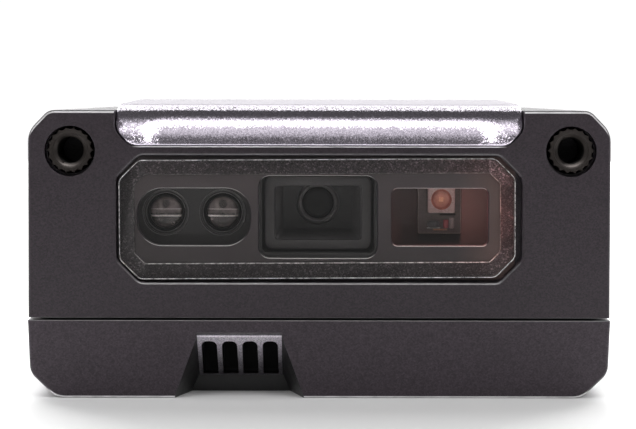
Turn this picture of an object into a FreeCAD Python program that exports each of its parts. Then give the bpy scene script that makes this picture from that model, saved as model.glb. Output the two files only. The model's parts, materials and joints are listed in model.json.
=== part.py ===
import FreeCAD, Part
import Sketcher
import math
import os
import sys
from types import SimpleNamespace
from FreeCAD import Placement, Rotation, Vector

# Compact presentation barcode reader: a two-part moulded case with a wrapped top
# trim, a glued front window and the optics behind it, a decoder board, a beeper
# behind the slots at the front, and a modular socket for the lead at the rear.
# Millimetres. +Z is up, the window faces -Y, and the origin is on the table under
# the middle of the case.

doc = FreeCAD.newDocument("presentation_reader")
sheet = doc.addObject("Spreadsheet::Sheet", "Dims")

SIZES = [
    # outer case
    ("case_width", 58.3, "case width at the parting line"),
    ("case_depth", 62.0, "case depth, front face to rear face"),
    ("split_height", 7.96, "middle of the parting gap above the table"),
    ("split_gap", 0.24, "open gap between the case halves"),
    ("low_over", 0.07, "lower half, how far each side stands out from the upper half"),
    ("low_draft", 0.225, "lower half, how far each side leans in at the bevel"),
    ("low_bevel_rise", 2.5, "lower half, height of the long bottom bevels"),
    ("low_bevel_in", 2.845, "lower half, where the flat foot starts, in from the side"),
    ("low_round", 1.9, "lower half, rounding above the bevel"),
    ("foot_round", 2.2, "lower half, rounding below the bevel"),
    ("roof_top", 28.85, "upper half, height of the roof"),
    ("roof_draft", 0.06, "upper half, how far each side leans in at the bevel"),
    ("roof_bevel_drop", 2.16, "upper half, height of the top corner bevels"),
    ("roof_bevel_in", 2.08, "upper half, width of the top corner bevels"),
    ("roof_round", 2.5, "upper half, rounding at the lower ends of the bevels"),
    ("roof_round_top", 1.4, "upper half, rounding at the upper ends of the bevels"),
    ("face_round", 0.35, "rounding round the front and rear faces"),
    ("lip_round", 0.1, "rounding along the parting line"),
    # walls
    ("wall_side", 2.5, "upper half, side wall"),
    ("wall_low", 2.75, "lower half, side wall"),
    ("wall_front", 3.0, "front wall"),
    ("wall_rear", 2.4, "rear wall"),
    ("floor_thick", 2.0, "floor"),
    ("roof_inner", 25.4, "height of the ceiling inside"),
    # window
    ("win_height", 18.0, "height of the window's centre"),
    ("win_bed_width", 40.6, "window recess, width"),
    ("win_bed_tall", 12.75, "window recess, height"),
    ("win_bed_bevel", 2.3, "window recess, corner bevel"),
    ("win_bed_deep", 1.8, "window recess, depth"),
    ("win_bed_round", 1.2, "window recess, rounding of the bevel's ends"),
    ("win_edge_round", 0.3, "window recess, rounded rim"),
    ("pane_width", 39.7, "pane, width"),
    ("pane_tall", 11.97, "pane, height"),
    ("pane_bevel", 2.0, "pane, corner bevel"),
    ("pane_round", 1.0, "pane, rounding of the bevel's ends"),
    ("pane_thick", 1.0, "pane, thickness"),
    ("pane_sink", 0.4, "pane, depth of its face below the front face"),
    ("pane_shift", 0.2, "pane, glued this far to the left"),
    ("pane_skew", 0.36, "pane, glued this many degrees off level"),
    ("pane_edge", 0.12, "pane, bevelled edge"),
    ("band_width", 1.46, "adhesive gasket, width of its band at the ends"),
    ("band_height", 1.53, "adhesive gasket, width of its band at the top and bottom"),
    ("band_bevel", 1.05, "adhesive gasket, bevel of its opening"),
    ("band_thick", 0.4, "adhesive gasket, thickness"),
    # openings behind the pane
    ("optic_x", 0.12, "optics, distance left of the middle"),
    ("port_height", 18.11, "height of the three openings' centres"),
    ("lamp_port_x", 12.62, "illumination opening, distance from the middle"),
    ("lamp_port_width", 11.42, "illumination opening, width"),
    ("lamp_port_tall", 5.74, "illumination opening, height"),
    ("lamp_port_round", 2.5, "illumination opening, corner radius"),
    ("cam_port_width", 11.94, "camera opening, width"),
    ("cam_port_tall", 8.27, "camera opening, height"),
    ("cam_port_round", 1.15, "camera opening, corner radius"),
    ("aim_port_x", 12.17, "aiming opening, distance from the middle"),
    ("aim_port_width", 9.73, "aiming opening, width"),
    ("aim_port_tall", 5.77, "aiming opening, height"),
    ("aim_port_round", 0.6, "aiming opening, corner radius"),
    ("port_edge_round", 0.14, "rounded rim of the three openings"),
    # front inserts
    ("insert_spread", 50.0, "distance between the two threaded inserts"),
    ("insert_shift", 0.12, "both inserts, distance right of the middle"),
    ("insert_height", 24.87, "height of the inserts' axes"),
    ("insert_radius", 2.35, "insert, radius over the knurl"),
    ("insert_long", 6.5, "insert, length"),
    ("insert_bore", 1.25, "insert, thread core radius"),
    ("insert_mouth", 1.62, "insert, radius of the countersunk mouth"),
    ("insert_mouth_deep", 0.4, "insert, depth of the countersink"),
    ("insert_sink", 0.15, "insert, depth of its face below the front face"),
    ("insert_fit", 0.02, "room around the knurl in the boss"),
    ("insert_well", 2.53, "radius of the sunk well round each insert"),
    ("insert_well_deep", 1.3, "depth of that well"),
    ("insert_well_drop", 0.09, "how far the well sits below the insert's axis"),
    ("knurl_deep", 0.2, "depth of the knurl's grooves"),
    ("boss_radius", 3.3, "radius of the insert bosses"),
    ("boss_long", 5.5, "length of the insert bosses behind the front wall"),
    # top trim
    ("trim_width", 40.8, "top trim, width"),
    ("trim_gap", 0.06, "gap round the top trim"),
    ("trim_proud", 0.8, "top trim, how far its middle stands in front of the case"),
    ("trim_lip_low", 25.32, "top trim, height of the front lip's lower edge"),
    ("trim_front_top", 28.225, "top trim, height where the front lip turns into the top"),
    ("trim_slope", 0.2867, "top trim, rise of the top behind the lip, per length"),
    ("trim_slope_long", 4.23, "top trim, length of that rise"),
    ("trim_slope_round", 6.0, "top trim, radius behind that rise"),
    ("trim_apex", 29.91, "top trim, height where the two slopes of the crown would meet"),
    ("trim_front_round", 3.2, "top trim, radius of the rolled front"),
    ("trim_crown_round", 300.0, "top trim, radius of the crown"),
    ("trim_inner", 27.7, "top trim, height of its underside"),
    ("trim_lip_thick", 2.0, "top trim, thickness of the front lip"),
    ("trim_bend_start", 15.45, "top trim, where the front lip starts to bend back, from the middle"),
    ("trim_bend_round", 8.0, "top trim, radius of that bend"),
    ("trim_bend_turn", 18.0, "top trim, angle of that bend in degrees"),
    ("trim_back", 28.6, "top trim, where it ends behind the middle"),
    ("trim_corner", 1.55, "top trim, cut corners of the front lip"),
    ("trim_corner_round", 1.9, "top trim, rounding of those corners"),
    ("trim_edge", 0.2, "top trim, rounded edge"),
    ("glue_thick", 0.15, "adhesive film under the top trim"),
    # sound notch
    ("notch_x", 7.99, "sound notch, distance left of the middle"),
    ("notch_top", 6.17, "sound notch, height at the front face"),
    ("notch_half_top", 4.27, "sound notch, half width at its top"),
    ("notch_half_foot", 6.55, "sound notch, half width at the table"),
    ("notch_deep", 5.08, "sound notch, depth at the table"),
    ("notch_back_top", 1.65, "sound notch, height of its back wall"),
    ("notch_half_back_top", 4.35, "sound notch, half width of the slope's lower edge"),
    ("notch_half_back_foot", 5.05, "sound notch, half width at the back"),
    ("grille_thick", 0.3, "sound grille, sheet thickness"),
    ("grille_room", 0.02, "room behind the sound grille"),
    ("slot_pitch", 2.05, "sound slots, spacing"),
    ("slot_width", 1.56, "sound slots, width"),
    ("slot_low", 1.85, "sound slots, lower end"),
    ("slot_high", 5.66, "sound slots, upper end"),
    ("slot_round", 0.6, "sound slots, rounding at the top"),
    ("block_half", 7.2, "wall behind the sound notch, half width"),
    ("block_deep", 7.2, "wall behind the sound notch, depth from the front face"),
    # case screws and seal
    ("screw_x", 23.7, "case screws, distance from the middle"),
    ("screw_front", 17.8, "case screws, front pair, distance ahead of the middle"),
    ("screw_back", 25.7, "case screws, rear pair, distance behind the middle"),
    ("screw_post", 3.0, "case screws, radius of the posts"),
    ("screw_core", 1.02, "case screws, radius of the tapped holes"),
    ("screw_clear", 1.3, "case screws, radius of the clearance holes"),
    ("screw_sink_radius", 2.2, "case screws, radius of the sunk heads' wells"),
    ("screw_sink_deep", 2.6, "case screws, depth of those wells"),
    ("screw_shank", 1.0, "case screws, shank radius"),
    ("screw_long", 11.0, "case screws, shank length"),
    ("screw_head", 1.95, "case screws, head radius"),
    ("screw_head_tall", 1.5, "case screws, head height"),
    ("seal_in", 0.85, "case seal, groove distance in from the outside"),
    ("seal_width", 1.0, "case seal, groove width"),
    ("seal_deep", 0.55, "case seal, groove depth"),
    # optics
    ("optic_low", 12.6, "optics frame, underside"),
    ("optic_high", 24.2, "optics frame, top"),
    ("optic_half", 19.2, "optics frame, half width"),
    ("optic_front", 27.85, "optics frame, front face ahead of the middle"),
    ("optic_back", 16.2, "optics frame, rear face ahead of the middle"),
    ("ear_x", 22.3, "optics frame, screw ears from the middle"),
    ("ear_height", 16.4, "optics frame, height of the ears' screws"),
    ("ear_front", 24.4, "optics frame, ears' front face ahead of the middle"),
    ("ear_thick", 1.6, "optics frame, ear thickness"),
    ("lamp_height", 18.36, "illumination lenses, height"),
    ("lamp_left", 15.72, "left illumination lens from the middle"),
    ("lamp_right", 9.9, "right illumination lens from the middle"),
    ("lamp_lens", 1.62, "illumination lens radius"),
    ("lamp_step", 1.97, "first ring round each lens"),
    ("lamp_ring", 2.29, "outer ring round each lens"),
    ("lamp_floor", 25.5, "floor of the illumination pocket ahead of the middle"),
    ("hood_height", 18.36, "camera hood, height of its centre"),
    ("hood_width", 10.9, "camera hood, outer width"),
    ("hood_tall", 7.5, "camera hood, outer height"),
    ("hood_in_width", 8.82, "camera hood, opening width"),
    ("hood_in_tall", 5.51, "camera hood, opening height"),
    ("hood_front", 26.0, "camera hood, front ahead of the middle"),
    ("hood_back", 18.4, "camera hood, rear ahead of the middle"),
    ("lens_height", 19.0, "camera lens axis height"),
    ("lens_glass", 1.68, "camera lens radius"),
    ("lens_rim", 2.17, "camera lens rim radius"),
    ("lens_front", 19.0, "camera lens rim ahead of the middle"),
    ("lens_body", 3.0, "camera lens barrel radius"),
    ("lens_back", 13.4, "camera lens barrel rear ahead of the middle"),
    ("sensor_plane", 11.6, "front of the sensor board ahead of the middle"),
    ("aim_led_x", 12.63, "aiming lamp from the middle"),
    ("aim_led_height", 19.63, "aiming lamp height"),
    ("aim_led_size", 2.8, "aiming lamp package size"),
    ("aim_plane", 23.0, "front of the aiming board ahead of the middle"),
    ("aim_board_width", 4.5, "aiming board width"),
    ("aim_board_low", 16.03, "aiming board lower edge"),
    # electronics
    ("board_low", 4.4, "decoder board underside"),
    ("board_thick", 1.6, "decoder board thickness"),
    ("board_half", 19.0, "decoder board half width"),
    ("board_front", 20.0, "decoder board front edge ahead of the middle"),
    ("board_back", 28.0, "decoder board rear edge behind the middle"),
    ("post_x", 16.0, "board posts from the middle"),
    ("post_front", 16.4, "board posts, front pair ahead of the middle"),
    ("post_back", 11.0, "board posts, rear pair behind the middle"),
    ("post_radius", 2.1, "board posts, radius"),
    ("post_core", 0.82, "board posts, tapped hole radius"),
    ("jack_half", 7.6, "modular socket, half width"),
    ("jack_tall", 13.0, "modular socket, height"),
    ("jack_front", 14.6, "modular socket, front end behind the middle"),
    ("jack_back", 31.8, "modular socket, mouth behind the middle"),
    ("jack_gap", 0.25, "room round the socket in the rear wall"),
    ("beeper_radius", 6.0, "beeper radius"),
    ("beeper_tall", 5.4, "beeper height"),
]


class Num:
    """A size together with the sheet expression it comes from."""

    def __init__(self, value, text=None):
        self.value = float(value)
        self.text = text if text else "(%r)" % self.value

    def __add__(self, other):
        o = num(other)
        return Num(self.value + o.value, "(%s + %s)" % (self.text, o.text))

    def __radd__(self, other):
        return num(other) + self

    def __sub__(self, other):
        o = num(other)
        return Num(self.value - o.value, "(%s - %s)" % (self.text, o.text))

    def __rsub__(self, other):
        return num(other) - self

    def __mul__(self, other):
        o = num(other)
        return Num(self.value * o.value, "(%s * %s)" % (self.text, o.text))

    def __rmul__(self, other):
        return num(other) * self

    def __truediv__(self, other):
        o = num(other)
        return Num(self.value / o.value, "(%s / %s)" % (self.text, o.text))

    def __neg__(self):
        return Num(-self.value, "(0 - %s)" % self.text)


def num(x):
    return x if isinstance(x, Num) else Num(x)


S = SimpleNamespace()
for row, (alias, number, note) in enumerate(SIZES, start=1):
    sheet.set("A%d" % row, note)
    sheet.set("B%d" % row, str(number))
    sheet.setAlias("B%d" % row, alias)
    setattr(S, alias, Num(number, "Dims." + alias))
doc.recompute()

nodes = []


# ---------------------------------------------------------------- helpers


def body(label):
    b = doc.addObject("PartDesign::Body", label)
    b.Label = label
    nodes.append(b)
    return b


def sketch(b, plane, at=0.0):
    """A sketch on one of the body's own planes. at is the plane's place along its axis."""
    s = b.newObject("Sketcher::SketchObject", b.Name + "_outline")
    support = [f for f in b.Origin.OriginFeatures if f.Role == plane + "_Plane"][0]
    s.AttachmentSupport = (support, [""])
    s.MapMode = "FlatFace"
    off = -num(at) if plane == "XZ" else num(at)
    s.AttachmentOffset = Placement(Vector(0, 0, off.value), Rotation())
    s.setExpression("AttachmentOffset.Base.z", off.text)
    return s


def bind(s, constraint, size):
    k = s.addConstraint(constraint)
    s.setExpression("Constraints[%d]" % k, size.text)


def loop(s, points, rounds=None):
    """A closed outline through the points, with rounded corners where rounds gives a radius."""
    pts = [(num(x), num(y)) for x, y in points]
    n = len(pts)
    ids = []
    for i in range(n):
        a, b = pts[i], pts[(i + 1) % n]
        ids.append(
            s.addGeometry(
                Part.LineSegment(
                    Vector(a[0].value, a[1].value, 0), Vector(b[0].value, b[1].value, 0)
                ),
                False,
            )
        )
    for i in range(n):
        s.addConstraint(
            Sketcher.Constraint("Coincident", ids[i], 2, ids[(i + 1) % n], 1)
        )
    for i in range(n):
        k = s.addConstraint(
            Sketcher.Constraint("DistanceX", -1, 1, ids[i], 1, pts[i][0].value)
        )
        s.renameConstraint(k, "x%d_%d" % (ids[0], i))
        s.setExpression("Constraints.x%d_%d" % (ids[0], i), pts[i][0].text)
        k = s.addConstraint(
            Sketcher.Constraint("DistanceY", -1, 1, ids[i], 1, pts[i][1].value)
        )
        s.renameConstraint(k, "y%d_%d" % (ids[0], i))
        s.setExpression("Constraints.y%d_%d" % (ids[0], i), pts[i][1].text)
    for i, radius in sorted((rounds or {}).items()):
        radius = num(radius)
        s.fillet(ids[i - 1], 2, radius.value, True, True)
        arc = len(s.Geometry) - 2
        k = s.addConstraint(Sketcher.Constraint("Radius", arc, radius.value))
        s.renameConstraint(k, "r%d_%d" % (ids[0], i))
        s.setExpression("Constraints.r%d_%d" % (ids[0], i), radius.text)
    return ids


def rect(s, left, right, low, high, radius=None):
    corners = {i: radius for i in range(4)} if radius is not None else None
    return loop(s, [(left, low), (right, low), (right, high), (left, high)], corners)


def bevelled(s, x, y, width, tall, bevel, radius):
    """A rectangle with its four corners cut at 45 degrees and the cuts' ends rounded."""
    w, h = width / 2, tall / 2
    pts = [
        (x - w + bevel, y - h),
        (x + w - bevel, y - h),
        (x + w, y - h + bevel),
        (x + w, y + h - bevel),
        (x + w - bevel, y + h),
        (x - w + bevel, y + h),
        (x - w, y + h - bevel),
        (x - w, y - h + bevel),
    ]
    return loop(s, pts, {i: radius for i in range(8)})


def ring(s, x, y, radius):
    x, y, radius = num(x), num(y), num(radius)
    i = s.addGeometry(
        Part.Circle(Vector(x.value, y.value, 0), Vector(0, 0, 1), radius.value), False
    )
    for kind, size, tag in (("DistanceX", x, "cx"), ("DistanceY", y, "cy")):
        k = s.addConstraint(Sketcher.Constraint(kind, -1, 1, i, 3, size.value))
        s.renameConstraint(k, "%s%d" % (tag, i))
        s.setExpression("Constraints.%s%d" % (tag, i), size.text)
    k = s.addConstraint(Sketcher.Constraint("Radius", i, radius.value))
    s.renameConstraint(k, "cr%d" % i)
    s.setExpression("Constraints.cr%d" % i, radius.text)
    return i


def volume(b):
    doc.recompute()
    return b.Shape.Volume if b.Tip and not b.Shape.isNull() else 0.0


def grow(b, s, length, back=False):
    """Pads along the plane's axis, or against it with back."""
    before = volume(b)
    f = b.newObject("PartDesign::Pad", b.Name + "_pad")
    f.Profile = s
    length = num(length)
    f.Length = length.value
    f.setExpression("Length", length.text)
    f.Reversed = back
    if volume(b) <= before + 1e-9:
        sys.exit("%s: a pad added nothing" % b.Label)
    return f


def cut(b, s, length, back=False):
    """Pockets against the sketch's normal, or along it with back."""
    before = volume(b)
    f = b.newObject("PartDesign::Pocket", b.Name + "_pocket")
    f.Profile = s
    length = num(length)
    f.Length = length.value
    f.setExpression("Length", length.text)
    f.Reversed = back
    after = volume(b)
    if not 0 < after < before - 1e-9:
        sys.exit("%s: a pocket cut nothing (%r to %r)" % (b.Label, before, after))
    return f


def trail(s, points, rounds):
    """An open path through the points, with its inner corners rounded."""
    pts = [(num(x), num(y)) for x, y in points]
    ids = []
    for a, b in zip(pts, pts[1:]):
        ids.append(
            s.addGeometry(
                Part.LineSegment(
                    Vector(a[0].value, a[1].value, 0), Vector(b[0].value, b[1].value, 0)
                ),
                False,
            )
        )
    for i in range(len(ids) - 1):
        s.addConstraint(Sketcher.Constraint("Coincident", ids[i], 2, ids[i + 1], 1))
    for i, (x, y) in enumerate(pts):
        line, end = (ids[i], 1) if i < len(ids) else (ids[-1], 2)
        for kind, size, tag in (("DistanceX", x, "px"), ("DistanceY", y, "py")):
            k = s.addConstraint(Sketcher.Constraint(kind, -1, 1, line, end, size.value))
            s.renameConstraint(k, "%s%d" % (tag, i))
            s.setExpression("Constraints.%s%d" % (tag, i), size.text)
    for i, radius in sorted(rounds.items()):
        radius = num(radius)
        s.fillet(ids[i - 1], 2, radius.value, True, True)
        arc = len(s.Geometry) - 2
        k = s.addConstraint(Sketcher.Constraint("Radius", arc, radius.value))
        s.renameConstraint(k, "pr%d" % i)
        s.setExpression("Constraints.pr%d" % i, radius.text)
    return ids


def sweep(b, s, path):
    """Carries an outline along a path without turning it."""
    before = volume(b)
    f = b.newObject("PartDesign::AdditivePipe", b.Name + "_swept")
    f.Profile = s
    f.Spine = (path, [])
    f.Mode = "Fixed"
    f.Transition = "Transformed"
    if volume(b) <= before + 1e-9:
        sys.exit("%s: a sweep added nothing" % b.Label)
    return f


def turn(b, s, plane_axis, groove=False):
    """Revolves a sketch a full turn about one of its own axes."""
    before = volume(b)
    kind = "PartDesign::Groove" if groove else "PartDesign::Revolution"
    f = b.newObject(kind, b.Name + "_turned")
    f.Profile = s
    f.ReferenceAxis = (s, [plane_axis])
    f.Angle = 360.0
    after = volume(b)
    if (after >= before) if groove else (after <= before):
        sys.exit("%s: a turned feature changed nothing" % b.Label)
    return f


def soften(b, radius, pick, kind="PartDesign::Fillet"):
    """Rounds or bevels the edges that pick accepts."""
    before = volume(b)
    tip = b.Tip
    names = ["Edge%d" % (i + 1) for i, e in enumerate(tip.Shape.Edges) if pick(e)]
    if not names:
        sys.exit("%s: no edge to round" % b.Label)
    f = b.newObject(kind, b.Name + "_soft")
    f.Base = (tip, names)
    radius = num(radius)
    prop = "Radius" if kind.endswith("Fillet") else "Size"
    setattr(f, prop, radius.value)
    f.setExpression(prop, radius.text)
    after = volume(b)
    if abs(after - before) < 1e-9 or not b.Shape.isValid():
        sys.exit("%s: rounding failed (%d edges)" % (b.Label, len(names)))
    return f


def within(e, x=None, y=None, z=None, tol=1e-4):
    """True if the edge lies inside the given spans."""
    bb = e.BoundBox
    for span, lo, hi in (
        (x, bb.XMin, bb.XMax),
        (y, bb.YMin, bb.YMax),
        (z, bb.ZMin, bb.ZMax),
    ):
        if span is not None and not (span[0] - tol <= lo and hi <= span[1] + tol):
            return False
    return True


def block(label, x, y, z, keep=True):
    """A plain box from spans of the three axes."""
    o = doc.addObject("Part::Box", label)
    o.Label = label
    for prop, axis, (lo, hi) in (
        ("Length", "x", x),
        ("Width", "y", y),
        ("Height", "z", z),
    ):
        lo, hi = num(lo), num(hi)
        size = hi - lo
        setattr(o, prop, size.value)
        o.setExpression(prop, size.text)
        o.setExpression("Placement.Base." + axis, lo.text)
    if keep:
        nodes.append(o)
    return o


AXES = {
    "x": Rotation(Vector(0, 1, 0), 90),
    "y": Rotation(Vector(1, 0, 0), -90),
    "z": Rotation(),
}


def rod(label, axis, start, radius, length, keep=False):
    """A plain cylinder from a start point along +axis."""
    o = doc.addObject("Part::Cylinder", label)
    o.Label = label
    radius, length = num(radius), num(length)
    o.Placement = Placement(Vector(*[num(c).value for c in start]), AXES[axis])
    o.Radius, o.Height = radius.value, length.value
    o.setExpression("Radius", radius.text)
    o.setExpression("Height", length.text)
    for a, c in zip("xyz", start):
        o.setExpression("Placement.Base." + a, num(c).text)
    if keep:
        nodes.append(o)
    return o


def fuse(label, parts):
    o = doc.addObject("Part::MultiFuse", label)
    o.Label = label
    o.Shapes = parts
    o.Refine = True
    return o


def minus(label, base, tool):
    o = doc.addObject("Part::Cut", label)
    o.Label = label
    o.Base, o.Tool = base, tool
    return o


def group(label, parts):
    """Separate like pieces that share one node."""
    o = doc.addObject("Part::Compound", label)
    o.Label = label
    o.Links = parts
    nodes.append(o)
    return o


def rim_edges(b, inner_y):
    """Edges of the trim where its outer skin meets its ends and the lip's foot."""
    shape = b.Tip.Shape

    def kind(face):
        u0, u1, v0, v1 = face.ParameterRange
        n = face.normalAt((u0 + u1) / 2, (v0 + v1) / 2)
        c = face.CenterOfMass
        if abs(n.x) > 0.9 or (abs(n.y) < 0.3 and c.y < inner_y and c.z < 27.3):
            return "rim"
        if n.z > 0.3 or n.y < -0.3:
            return "skin"
        return "inside"

    kinds = [(f, kind(f)) for f in shape.Faces]
    out = []
    for e in shape.Edges:
        touching = {k for f, k in kinds if any(e.isSame(o) for o in f.Edges)}
        if touching == {"rim", "skin"}:
            out.append(e)
    return out


# ---------------------------------------------------------------- shared places

half = S.case_width / 2
front = -(S.case_depth / 2)
rear = S.case_depth / 2
low_top = S.split_height - S.split_gap / 2
up_low = S.split_height + S.split_gap / 2
wall_in_front = front + S.wall_front
wall_in_rear = rear - S.wall_rear
board_top = S.board_low + S.board_thick
jack_top = board_top + S.jack_tall
seat_height = S.trim_inner - S.glue_thick
SIDES = (-1, 1)


def four(x, front_y, back_y):
    return [(sx * x, y) for y in (-front_y, back_y) for sx in SIDES]


def face_edges(b, parting):
    """Outline edges of the front and rear faces, without the parting edge."""
    for y in (front.value, rear.value):
        soften(
            b,
            S.face_round,
            lambda e: within(e, y=(y, y))
            and not within(e, z=(parting.value, parting.value)),
        )
    soften(b, S.lip_round, lambda e: within(e, z=(parting.value, parting.value)))


# ---------------------------------------------------------------- lower case

b = body("lower_case")
low_half = half + S.low_over
s = sketch(b, "XZ", rear)
loop(
    s,
    [
        (-low_half, low_top),
        (-(low_half - S.low_draft), S.low_bevel_rise),
        (-(low_half - S.low_bevel_in), 0),
        (low_half - S.low_bevel_in, 0),
        (low_half - S.low_draft, S.low_bevel_rise),
        (low_half, low_top),
    ],
    {1: S.low_round, 2: S.foot_round, 3: S.foot_round, 4: S.low_round},
)
grow(b, s, S.case_depth)
face_edges(b, low_top)

# inside, leaving a solid wall behind the sound notch
low_in = half - S.wall_low
s = sketch(b, "XY", low_top)
loop(
    s,
    [
        (-low_in, wall_in_front),
        (-S.notch_x - S.block_half, wall_in_front),
        (-S.notch_x - S.block_half, front + S.block_deep),
        (-S.notch_x + S.block_half, front + S.block_deep),
        (-S.notch_x + S.block_half, wall_in_front),
        (low_in, wall_in_front),
        (low_in, wall_in_rear),
        (-low_in, wall_in_rear),
    ],
    {0: 1.0, 5: 1.0, 6: 1.0, 7: 1.0},
)
cut(b, s, low_top - S.floor_thick)

# posts for the case screws and for the decoder board
s = sketch(b, "XY", S.floor_thick / 2)
for x, y in four(S.screw_x, S.screw_front, S.screw_back):
    ring(s, x, y, S.screw_post)
grow(b, s, up_low - S.floor_thick / 2)
s = sketch(b, "XY", S.floor_thick / 2)
for x, y in four(S.post_x, S.post_front, S.post_back):
    ring(s, x, y, S.post_radius)
grow(b, s, S.board_low - S.floor_thick / 2)
s = sketch(b, "XY", S.board_low)
for x, y in four(S.post_x, S.post_front, S.post_back):
    ring(s, x, y, S.post_core)
cut(b, s, 3.2)
s = sketch(b, "XY", 0)
for x, y in four(S.screw_x, S.screw_front, S.screw_back):
    ring(s, x, y, S.screw_sink_radius)
cut(b, s, S.screw_sink_deep, back=True)
s = sketch(b, "XY", 0)
for x, y in four(S.screw_x, S.screw_front, S.screw_back):
    ring(s, x, y, S.screw_clear)
cut(b, s, up_low + 1, back=True)

# groove for the seal
groove_out = S.seal_in
groove_in = S.seal_in + S.seal_width
s = sketch(b, "XY", low_top)
rect(s, -half + groove_out, half - groove_out, front + groove_out, rear - groove_out, 1.6)
rect(s, -half + groove_in, half - groove_in, front + groove_in, rear - groove_in, 0.6)
cut(b, s, S.seal_deep)

# rear opening round the socket
s = sketch(b, "XZ", rear)
rect(s, -S.jack_half - S.jack_gap, S.jack_half + S.jack_gap, board_top - S.jack_gap, up_low + 1)
cut(b, s, S.wall_rear + 0.2, back=True)

# sound notch: a sloping seat for the grille, with flared cheeks, open to the table
grow_foot = (S.notch_half_foot - S.notch_half_top) / S.notch_top / 2
grow_back = (S.notch_half_back_foot - S.notch_half_back_top) / S.notch_back_top / 2
fall = (S.notch_top - S.notch_back_top) / S.notch_deep
lean = Num(math.cos(math.atan(fall.value)), "cos(atan(%s))" % fall.text)
seat_up = (S.grille_thick + S.grille_room) / lean


def notch_section(at, half_foot, half_top, top, spread):
    s = sketch(b, "XZ", at)
    loop(
        s,
        [
            (-S.notch_x - half_foot - spread, -0.5),
            (-S.notch_x + half_foot + spread, -0.5),
            (-S.notch_x + half_top, top),
            (-S.notch_x + half_top, top + seat_up),
            (-S.notch_x - half_top, top + seat_up),
            (-S.notch_x - half_top, top),
        ],
    )
    return s


mouth = notch_section(front, S.notch_half_foot, S.notch_half_top, S.notch_top, grow_foot)
inner = notch_section(
    front + S.notch_deep,
    S.notch_half_back_foot,
    S.notch_half_back_top,
    S.notch_back_top,
    grow_back,
)
before = volume(b)
f = b.newObject("PartDesign::SubtractiveLoft", "lower_case_notch")
f.Profile = mouth
f.Sections = [inner]
f.Ruled = True
if volume(b) >= before:
    sys.exit("lower_case: the notch cut nothing")


def sound_slots(s, room):
    for i in range(4):
        x = -S.notch_x + S.slot_pitch * (i - 1.5)
        w = S.slot_width / 2 + room
        loop(
            s,
            [
                (x - w, S.slot_low - room),
                (x + w, S.slot_low - room),
                (x + w, S.slot_high + room),
                (x - w, S.slot_high + room),
            ],
            {2: S.slot_round, 3: S.slot_round},
        )


s = sketch(b, "XZ", front)
sound_slots(s, num(0.05))
cut(b, s, S.block_deep + 0.2)

# sound grille: a thin slotted sheet on that slope
b = body("sound_grille")
grille_half = S.notch_half_top - 0.02
grille_deep = S.notch_deep - 0.02
s = sketch(b, "YZ", -S.notch_x - grille_half)
loop(
    s,
    [
        (front, S.notch_top),
        (front + grille_deep, S.notch_top - fall * grille_deep),
        (front + grille_deep, S.notch_top - fall * grille_deep + S.grille_thick / lean),
        (front + S.grille_thick * fall * lean, S.notch_top + S.grille_thick * lean),
    ],
)
grow(b, s, 2 * grille_half)
s = sketch(b, "XZ", front)
sound_slots(s, num(0))
cut(b, s, S.block_deep)


# ---------------------------------------------------------------- upper case

b = body("upper_case")
roof_half = half - S.roof_draft
s = sketch(b, "XZ", rear)
loop(
    s,
    [
        (-half, up_low),
        (half, up_low),
        (roof_half, S.roof_top - S.roof_bevel_drop),
        (roof_half - S.roof_bevel_in, S.roof_top),
        (-(roof_half - S.roof_bevel_in), S.roof_top),
        (-roof_half, S.roof_top - S.roof_bevel_drop),
    ],
    {2: S.roof_round, 3: S.roof_round_top, 4: S.roof_round_top, 5: S.roof_round},
)
grow(b, s, S.case_depth)
face_edges(b, up_low)

# inside
up_in = half - S.wall_side
s = sketch(b, "XY", up_low)
rect(s, -up_in, up_in, wall_in_front, wall_in_rear, 1.0)
cut(b, s, S.roof_inner - up_low, back=True)

# seat of the top trim: a shallow step in the roof and one in the front face
seat_half = S.trim_width / 2 + S.trim_gap
s = sketch(b, "XY", S.roof_top)
rect(s, -seat_half, seat_half, front - 1, S.trim_back + S.trim_gap)
cut(b, s, S.roof_top - seat_height)
lip_low = S.trim_lip_low - S.trim_gap
s = sketch(b, "XZ", front)
loop(
    s,
    [
        (-seat_half + S.trim_corner, lip_low),
        (seat_half - S.trim_corner, lip_low),
        (seat_half, lip_low + S.trim_corner),
        (seat_half, S.roof_top + 1),
        (-seat_half, S.roof_top + 1),
        (-seat_half, lip_low + S.trim_corner),
    ],
    {0: S.trim_corner_round, 1: S.trim_corner_round, 2: S.trim_corner_round, 5: S.trim_corner_round},
)
cut(b, s, S.trim_lip_thick + S.trim_gap)

# posts for the case screws, bosses for the inserts and for the optics
s = sketch(b, "XY", up_low)
for x, y in four(S.screw_x, S.screw_front, S.screw_back):
    ring(s, x, y, S.screw_post)
grow(b, s, S.roof_inner - up_low + 0.5)
s = sketch(b, "XY", up_low)
for x, y in four(S.screw_x, S.screw_front, S.screw_back):
    ring(s, x, y, S.screw_core)
cut(b, s, 6.6, back=True)
s = sketch(b, "XZ", wall_in_front - 0.5)
for side in SIDES:
    ring(s, side * S.insert_spread / 2 + S.insert_shift, S.insert_height, S.boss_radius)
grow(b, s, S.boss_long + 0.5, back=True)
s = sketch(b, "XZ", front)
for side in SIDES:
    ring(s, side * S.insert_spread / 2 + S.insert_shift, S.insert_height, S.insert_radius + S.insert_fit)
cut(b, s, S.insert_sink + S.insert_long + 0.3)
s = sketch(b, "XZ", front)
for side in SIDES:
    ring(s, side * S.insert_spread / 2 + S.insert_shift, S.insert_height - S.insert_well_drop, S.insert_well)
cut(b, s, S.insert_well_deep)
s = sketch(b, "XZ", wall_in_front - 0.5)
for side in SIDES:
    ring(s, side * S.ear_x, S.ear_height, 2.2)
grow(b, s, -S.ear_front - wall_in_front + 0.5, back=True)
s = sketch(b, "XZ", -S.ear_front)
for side in SIDES:
    ring(s, side * S.ear_x, S.ear_height, 0.82)
cut(b, s, 5.0, back=True)

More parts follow.
